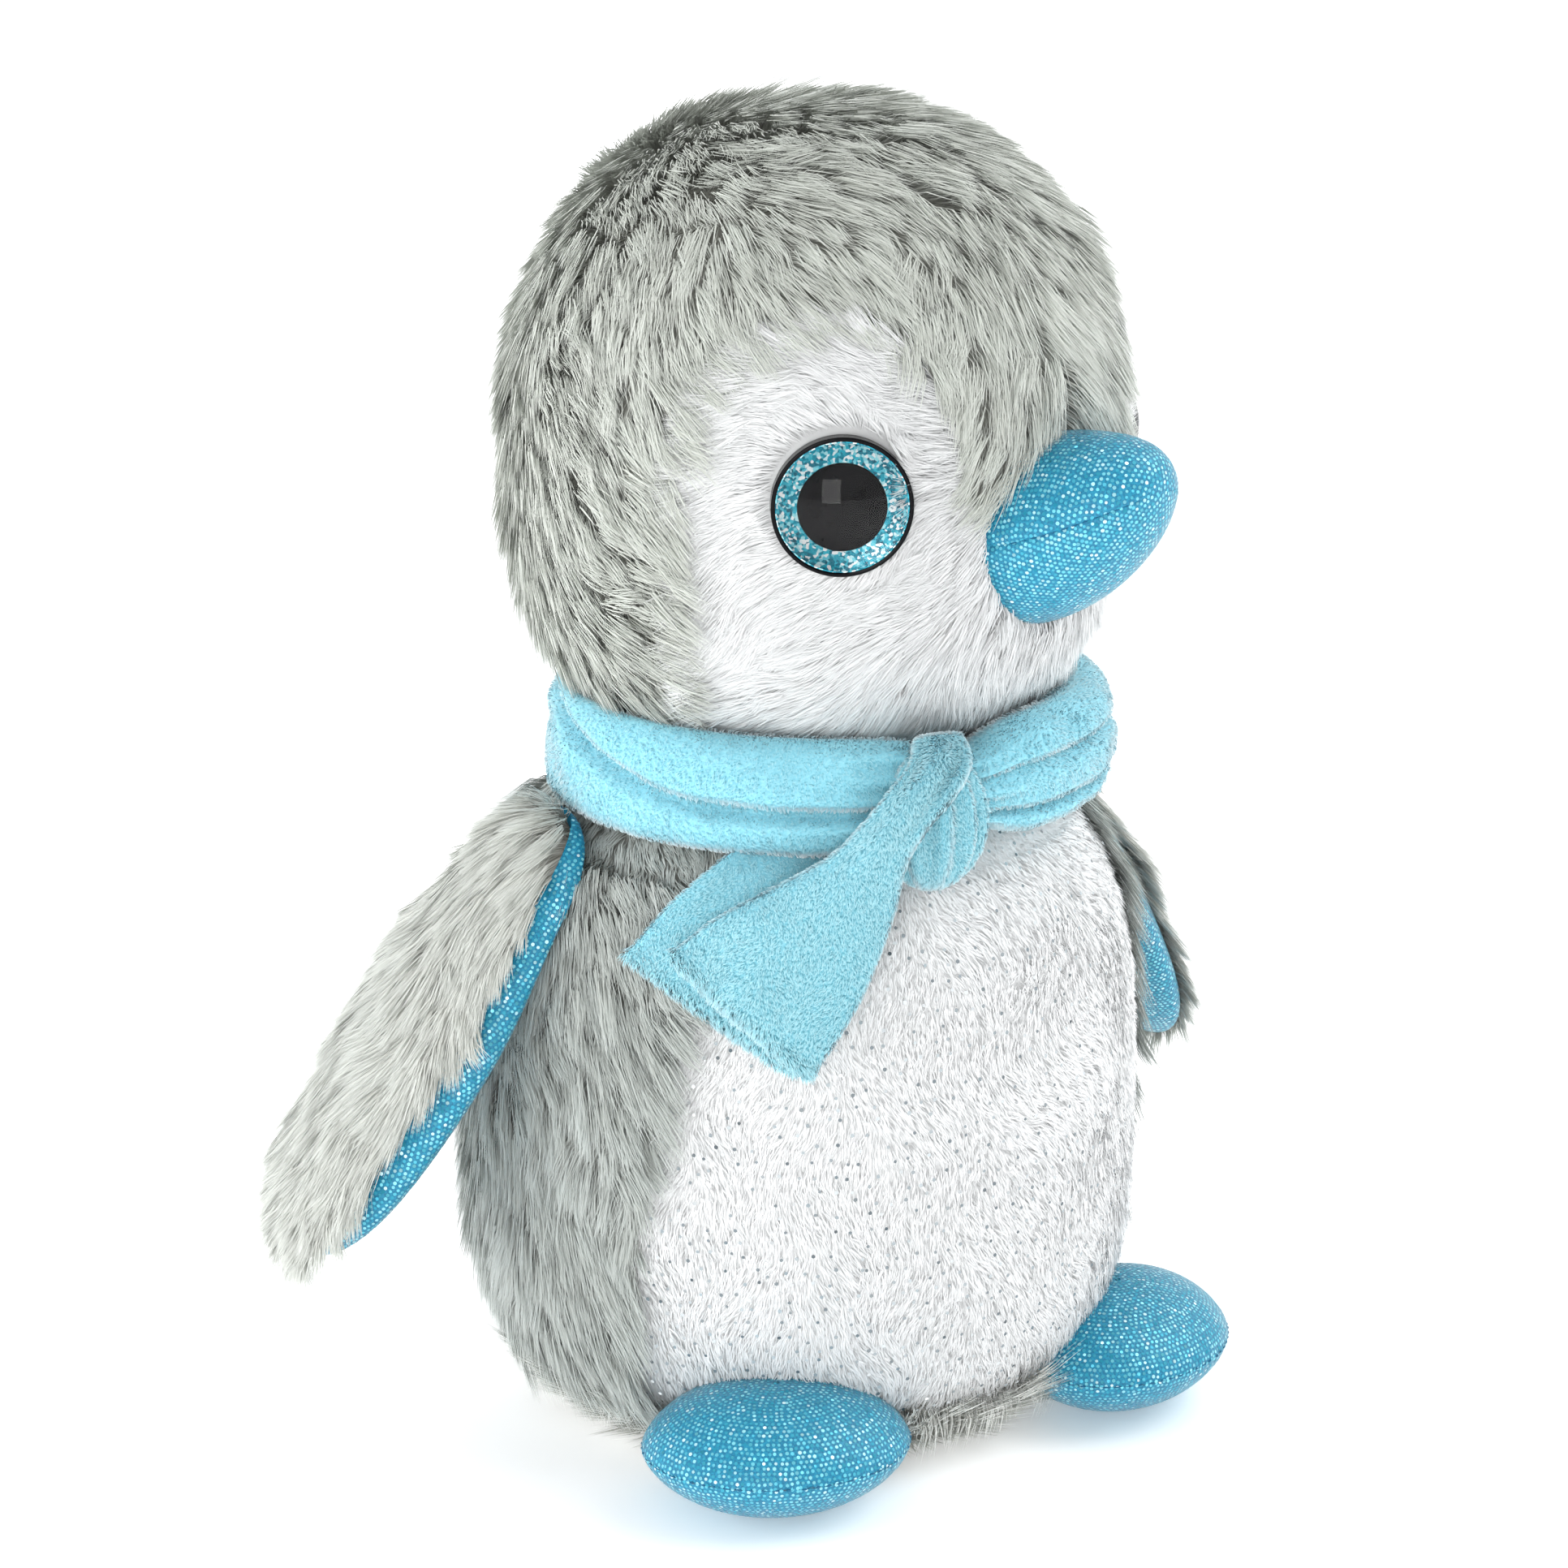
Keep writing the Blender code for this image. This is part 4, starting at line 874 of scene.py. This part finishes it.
EYE_CUP = ((0.0, -12.0), (2.4, -12.0), (2.4, 0.4), (11.0, 0.4), (11.7, 0.6), (EYE_RADIUS, 1.2),
           (EYE_RADIUS, 3.45), (11.85, 3.65), (11.6, 3.7), (11.3, 3.6), (11.3, 1.8), (0.0, 1.8))
EYE_RING = ((7.35, 2.1), (11.25, 2.1), (11.25, 3.4), (11.05, 3.4), (11.0, 2.7), (7.35, 2.6), (7.35, 2.1))
PUPIL = ((0.0, 2.1), (PUPIL_RADIUS, 2.1), (PUPIL_RADIUS, 2.6), (0.0, 2.6))


def eye_dome():
    """Profile of the clear dome: a flat back with a cap of a sphere on it."""
    curve = (LENS_RADIUS ** 2 + LENS_HEIGHT ** 2) / (2.0 * LENS_HEIGHT)
    cap = [(curve * math.sin(lean), 3.5 + LENS_HEIGHT - curve * (1.0 - math.cos(lean)))
           for lean in np.linspace(math.asin(LENS_RADIUS / curve), 0.0, 24)]
    return [(0.0, 2.9), (LENS_RADIUS, 2.9), *cap]


def build_eyes():
    """Cup, glitter ring, pupil and clear dome of each safety eye."""
    pieces = (("cup", "backing", EYE_CUP, BLACK_PLASTIC, "black_plastic"),
              ("glitter", "glitter_ring", EYE_RING, GLITTER_WITH_PAINTED_GLINTS, "glitter"),
              ("black", "pupil", PUPIL, BLACK_PLASTIC, "black_plastic"),
              ("dome", "lens", eye_dome(), CLEAR, "clear_plastic"))
    for side, label in SIDES:
        found = form_grid(HEAD, np.array([[EYE_ELEVATION]]), np.array([[side * EYE_AZIMUTH]]))
        seat = sunk(found, EYE_SEAT_DEPTH)[0, 0]
        out = Vector(unit(side * EYE_AZIMUTH, EYE_ELEVATION))
        eye = Matrix.Translation(seat) @ out.to_track_quat("Z", "Y").to_matrix().to_4x4()
        for piece, node_name, profile, material, slot in pieces:
            turned_piece("eye_%s_%s" % (piece, label), "eye_%s_%s" % (node_name, label), profile, eye,
                         material)


# ---- scarf

def smooth_line(points, count, closed=False):
    """Points along a smooth curve through given points."""
    points = np.array(points, float)
    if closed:
        points = np.concatenate([points[-1:], points, points[:2]])
    else:
        points = np.concatenate([2 * points[:1] - points[1:2], points, 2 * points[-1:] - points[-2:-1]])
    at = np.linspace(0.0, len(points) - 3 - 1e-9, count + 1 if closed else count)
    at = at[:-1] if closed else at
    index, t = at.astype(int), (at % 1.0)[:, None]
    a, b, c, d = (points[index + step] for step in range(4))
    return 0.5 * (2 * b + (c - a) * t + (2 * a - 5 * b + 4 * c - d) * t ** 2
                  + (3 * b - a - 3 * c + d) * t ** 3)


def loft_piece(name, rings, body, cad_nodes, pile_count, fluff=0.0):
    """Closed cloth through rings of points, with a short velour pile that is longer at its last end."""
    rows, columns = rings.shape[:2]
    grid = faced(rings, closed=True)
    middles = np.stack([rings[0].mean(0), rings[-1].mean(0)])
    points = np.concatenate([grid[..., :3].reshape(-1, 3), middles])
    ring = np.arange(columns)
    after = (ring + 1) % columns
    first, last = rows * columns, (rows - 1) * columns
    ends = np.concatenate([np.stack([after, ring, np.full(columns, first)], 1),
                           np.stack([ring + last, after + last, np.full(columns, first + 1)], 1)])
    cloth = add_piece(name, points, grid_faces(rows, columns, True), ends, body, SCARF_CLOTH,
                      cad_nodes)
    rng = dice(name)
    late = np.broadcast_to(np.linspace(0.0, 1.0, rows)[:, None, None], (rows, columns, 1))
    wrapped = np.concatenate([grid, late], -1)
    wrapped = np.concatenate([wrapped, wrapped[:, :1]], 1)
    found = sample(rng, wrapped, pile_count // SPARSE)
    normals = normalised(found[:, 3:6])
    combs = swirl(found, 9.0, 80.0, 11, DOWN)
    scale = 1.0 + fluff * ease((found[:, 6] - 0.93) / 0.05)
    roots = found[:, :3] - VELOUR.depth * normals
    hair, shades, quads, tris, uv = strands(rng, roots, normals, combs, scale, VELOUR)
    pile = add_piece(name + "_pile", hair, quads, tris, body, SCARF_PILE, uv=uv, normals=shades)


def band_rings():
    """Rings of the band round the neck, with its folds."""
    section = ((44.2, 137.4, 3.7), (39.8, 132.6, 3.7), (40.0, 127.0, 3.0), (42.6, 121.6, 1.2),
               (44.6, 118.6, 1.0), (47.6, 117.8, 4.0), (50.0, 120.4, 7.5), (50.8, 125.0, 7.8),
               (50.6, 130.5, 7.8), (49.4, 135.6, 7.0), (47.0, 138.4, 5.0))
    loop = smooth_line(section, 88, closed=True)
    azimuths = np.linspace(KNOT_AZIMUTH + 4.0, KNOT_AZIMUTH + 356.0, 240)[:, None]
    radius, height, forward = (np.broadcast_to(loop[:, axis], (240, 88)) for axis in range(3))
    outer = ease((radius - 46.0) / 3.0) * ease((height - 116.0) / 3.0)
    away = (azimuths - KNOT_AZIMUTH) % 360.0
    left = 360.0 - away                       # degrees from the knot on the toy's right
    crease = 126.5 + 10.5 * ease((left - 45.0) / 75.0)
    deep = 3.2 * bell(height - crease, 1.5)
    deep = deep * (1.0 - ease((left - 100.0) / 60.0)) * (away > 180.0)
    upper = 2.3 * bell(height - 132.3 + 0.03 * away, 1.0)
    lower = 2.5 * bell(height - 123.6 + 0.02 * away, 1.0)
    fade = 1.0 - ease((away - 60.0) / 50.0)
    shallow = (upper + lower) * fade * (away < 180.0)
    behind = 2.8 * bell(height - 128.0 - 2.0 * np.sin(np.radians(azimuths * 2.0)), 1.6)
    behind = behind * ease((away - 90.0) / 40.0) * ease((left - 100.0) / 40.0)
    near = np.exp(-(np.minimum(away, left) - 8.0) / 9.0)
    gathers = 0.9 * near * np.cos((height - 118.0) * 1.5)
    radius = radius - (deep + shallow + behind + gathers) * outer
    pinch = 1.0 - 0.3 * bell(away - 8.0, 9.0) * (away < 180.0) - 0.08 * near
    height = 128.0 + (height - 128.0) * pinch
    place = unit(azimuths) * radius[..., None]
    place = place + np.stack([np.zeros_like(height), -forward, height], -1)
    bumps = ripple(place.reshape(-1, 3), 9.0, 12).reshape(height.shape)
    return place + unit(azimuths) * (0.8 * bumps * outer)[..., None]


def knot_rings():
    """Rings of the knot's wrapped part, gathered from top to bottom."""
    angles = np.radians(np.linspace(-88.0, 88.0, 60))[:, None]
    around = np.radians(np.linspace(0.0, 360.0, 97)[:-1])[None, :]
    ridges = 0.9 * np.cos(11.0 * around) * np.cos(angles)
    across, deep, tall = KNOT_HALF_SIZE
    place = stacked((across + ridges) * np.cos(angles) * np.cos(around),
                    (deep + ridges) * np.cos(angles) * np.sin(around), tall * np.sin(angles))
    return spun(place, KNOT_AZIMUTH) + unit(KNOT_AZIMUTH) * KNOT_RADIUS + np.array((0.0, 0.0, KNOT_HEIGHT))


def tail_rings(left, right, start, end, thickness, pleats, rows=70, columns=48):
    """Rings of a strip of doubled cloth between two edges, gathered at its first end."""
    count = 200
    at = np.linspace(start, end, rows)
    edges = [between(smooth_line(edge, count), at * (count - 1)) for edge in (left, right)]
    points = [unit(edge[:, 0]) * edge[:, 2:3] + np.outer(edge[:, 1], (0.0, 0.0, 1.0)) for edge in edges]
    turn = np.linspace(0.0, 2.0 * math.pi, columns + 1)[:-1]
    across = np.sign(np.cos(turn)) * np.abs(np.cos(turn)) ** 0.75
    over = np.sign(np.sin(turn)) * np.abs(np.sin(turn)) ** 0.6
    middle = (points[0] + points[1]) / 2
    half = (points[1] - points[0]) / 2
    ahead = np.gradient(middle, axis=0)
    up = normalised(np.cross(half, ahead))
    up = np.where(np.sum(up * middle, 1, keepdims=True) < 0, -up, up)
    close = np.sqrt(np.clip((end - at) / 0.03, 0.0, 1.0)) if end > 0.99 else np.ones(rows)
    close = close * (np.sqrt(np.clip(at / 0.04, 0.0, 1.0)) if start < 0.01 else 1.0)
    amount = pleats * (0.25 + 0.75 * (1.0 - ease((at - 0.25) / 0.55))) * ease(at / 0.2)
    waves = np.cos(across * 5.0 + 2.2 * at[:, None] * across + 0.8)
    fold = amount[:, None] * waves * (1 - np.abs(across) ** 6)
    belly = 1.2 * ease(at[:, None] / 0.6) * (1 - across ** 2)
    rise = over * thickness / 2 * np.maximum(close, 0.08)[:, None] + fold + belly
    return middle[:, None] + half[:, None] * across[None, :, None] + up[:, None] * rise[..., None]


def build_scarf():
    """Band, knot and tails of the scarf, each with its velour pile."""
    loft_piece("scarf_band_folds", band_rings(), "body", ["scarf_band"],
               60000)
    loft_piece("scarf_knot_wrap", knot_rings(), "body", ["scarf_knot"],
               16000)
    rings = tail_rings(FRONT_LEFT, FRONT_RIGHT, 0.0, 0.5, 4.4, 0.8)
    loft_piece("scarf_knot_loop", rings, "body", [], 14000)
    rings = tail_rings(FRONT_LEFT, FRONT_RIGHT, 0.49, 1.0, 4.2, 0.8)
    loft_piece("scarf_front_tail_cloth", rings, "scarf_front_tail", ["scarf_tail_front"],
               30000, fluff=0.9)
    rings = tail_rings(REAR_LEFT, REAR_RIGHT, 0.0, 1.0, 3.4, 0.5)
    loft_piece("scarf_rear_tail_cloth", rings, "scarf_rear_tail", ["scarf_tail_rear"],
               24000, fluff=0.9)


# ---- what is inside

def fill_piece(name, cad_node, rings, shrink, body):
    """Stuffing with a tufted surface, shrunk from the cloth round it, in place of a CAD node."""
    middle = rings.mean((0, 1))
    grid = faced(middle + (rings - middle) * shrink, closed=True)
    tufts = ripple(grid[..., :3].reshape(-1, 3), 5.0, 13).reshape(grid.shape[:2])
    grid[..., :3] = sunk(grid, 0.5 + 0.5 * tufts)
    cloth_piece(name, cad_node, grid, body, FIBREFILL, closed=True)


def pellets(name, cad_node, count, radius):
    """Loose pellets that fill the bean bag."""
    rng = np.random.default_rng(17)
    angles = np.degrees(np.arcsin(rng.uniform(-1.0, 1.0, count)))
    found = form_grid(BAG, angles, rng.uniform(0.0, 360.0, count))[:, :3]
    middle = np.array((0.0, 0.0, BAG.middle))
    centre = middle + (found - middle) * (0.9 * rng.random((count, 1)) ** 0.4)
    rises, turns = np.radians(np.linspace(-90.0, 90.0, 6))[:, None], np.radians(np.arange(0.0, 360.0, 45.0))
    ball = stacked(np.cos(rises) * np.cos(turns), np.cos(rises) * np.sin(turns), np.sin(rises))
    ball = ball.reshape(-1, 3)
    points = (centre[:, None] + radius * ball).reshape(-1, 3)
    start = np.arange(count)[:, None, None] * len(ball)
    made = add_piece(name, points, grid_faces(*rises.shape[:1], len(turns), True) + start, [], "body",
                     PELLET, [cad_node])


def build_inside():
    """Stuffing of body and head, bean bag, pellets, and the material of the eyes' washers."""
    turns = np.linspace(0.0, 360.0, 97)[None, :]
    rings = form_grid(BODY, np.linspace(-50.0, 60.0, 60)[:, None], turns[:, :-1])[..., :3]
    fill_piece("body_fibrefill", "body_stuffing", rings, 0.86, "body")
    rings = form_grid(HEAD, np.linspace(-50.0, 88.0, 60)[:, None], turns[:, :-1])[..., :3]
    fill_piece("head_fibrefill", "head_stuffing", rings, 0.84, "head")
    for part, start in (("top", 0.0), ("bottom", -90.0)):
        grid = form_grid(BAG, np.linspace(start, start + 90.0, 30)[:, None], turns)
        cloth_piece("bag_cloth_" + part, "bean_bag_" + part, grid, "body", BAG_CLOTH)
    pellets("bag_pellets", "bean_pellets", 420, 1.7)
    for _, label in SIDES:
        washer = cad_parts["eye_washer_" + label]
        washer.data.materials.clear()
        washer.data.materials.append(WASHER)


# ---- stage

def aim(made, place, way):
    """Put a light or a camera at a place and point it along a way."""
    made.location = place
    made.rotation_mode = "QUATERNION"
    made.rotation_quaternion = way.to_track_quat("-Z", "Y")


def area_light(name, place, target, size, watts, glossy=True):
    """Soft rectangular light that points at a target; places are in metres."""
    data = bpy.data.lights.new(name, "AREA")
    data.shape = "RECTANGLE"
    data.size, data.size_y = size
    data.energy = watts
    lamp = linked(name, data)
    lamp.visible_glossy = glossy
    aim(lamp, place, Vector(target) - Vector(place))


def build_stage():
    """Pale floor, soft lights and the camera."""
    mesh = bpy.data.meshes.new("floor")
    mesh.from_pydata([(-9, -9, 0), (9, -9, 0), (9, 9, 0), (-9, 9, 0)], [], [(0, 1, 2, 3)])
    mesh.materials.append(surface_material(
        "floor_paper", (0.955, 0.955, 0.955), (0.97, 0.97, 0.97), 60.0, 0.01,
        Roughness=0.8, Emission_Color=(1.0, 1.0, 1.0, 1.0), Emission_Strength=0.22))
    floor = linked("floor", mesh)
    world = bpy.data.worlds.new("studio")
    bpy.context.scene.world = world
    world.use_nodes = True
    tree = world.node_tree
    sky = tree.nodes["Background"]
    sky.inputs["Strength"].default_value = 1.04
    towards = node(tree, "ShaderNodeVectorMath", operation="DOT_PRODUCT")
    tree.links.new(node(tree, "ShaderNodeTexCoord").outputs["Generated"], towards.inputs[0])
    towards.inputs[1].default_value = unit(-34.0, 12.0)
    shades = ((0.45, (0.97, 0.985, 1.0)), (0.8, (0.03, 0.03, 0.03)))
    tree.links.new(ramp(tree, towards.outputs["Value"], shades), sky.inputs["Color"])
    target = (0.0, BODY_Y * MM, 0.12)
    area_light("key_light", (0.75, -0.55, 0.95), target, (0.9, 0.9), 7.0)
    area_light("front_fill", (-0.9, -1.2, 0.9), target, (1.2, 1.2), 4.5, glossy=False)
    area_light("left_fill", (-1.15, 0.75, 0.4), target, (1.2, 0.8), 8.0, glossy=False)
    area_light("low_fill", (-1.0, 0.0, 0.12), (0.0, 0.0, 0.05), (0.6, 0.2), 1.6, glossy=False)
    area_light("back_fill", (0.9, 1.0, 0.5), target, (1.2, 1.0), 9.0, glossy=False)
    area_light("window_light", (-0.80, -0.92, 0.36), (-0.03, -0.04, 0.18), (0.42, 0.56), 4.5)
    data = bpy.data.cameras.new("camera")
    data.sensor_width = 36.0
    data.lens, data.shift_x, data.shift_y = LENS, *LENS_SHIFT
    camera = linked("camera", data)
    back = Vector(unit(*CAMERA_DIRECTION))
    aim(camera, Vector((0.0, BODY_Y * MM, CAMERA_AIM_HEIGHT)) + back * CAMERA_DISTANCE, -back)
    bpy.context.scene.camera = camera
    bpy.context.scene.view_settings.view_transform = "Standard"


build_body()
build_head()
build_beak()
build_feet()
build_wings()
build_eyes()
build_scarf()
build_inside()
build_stage()
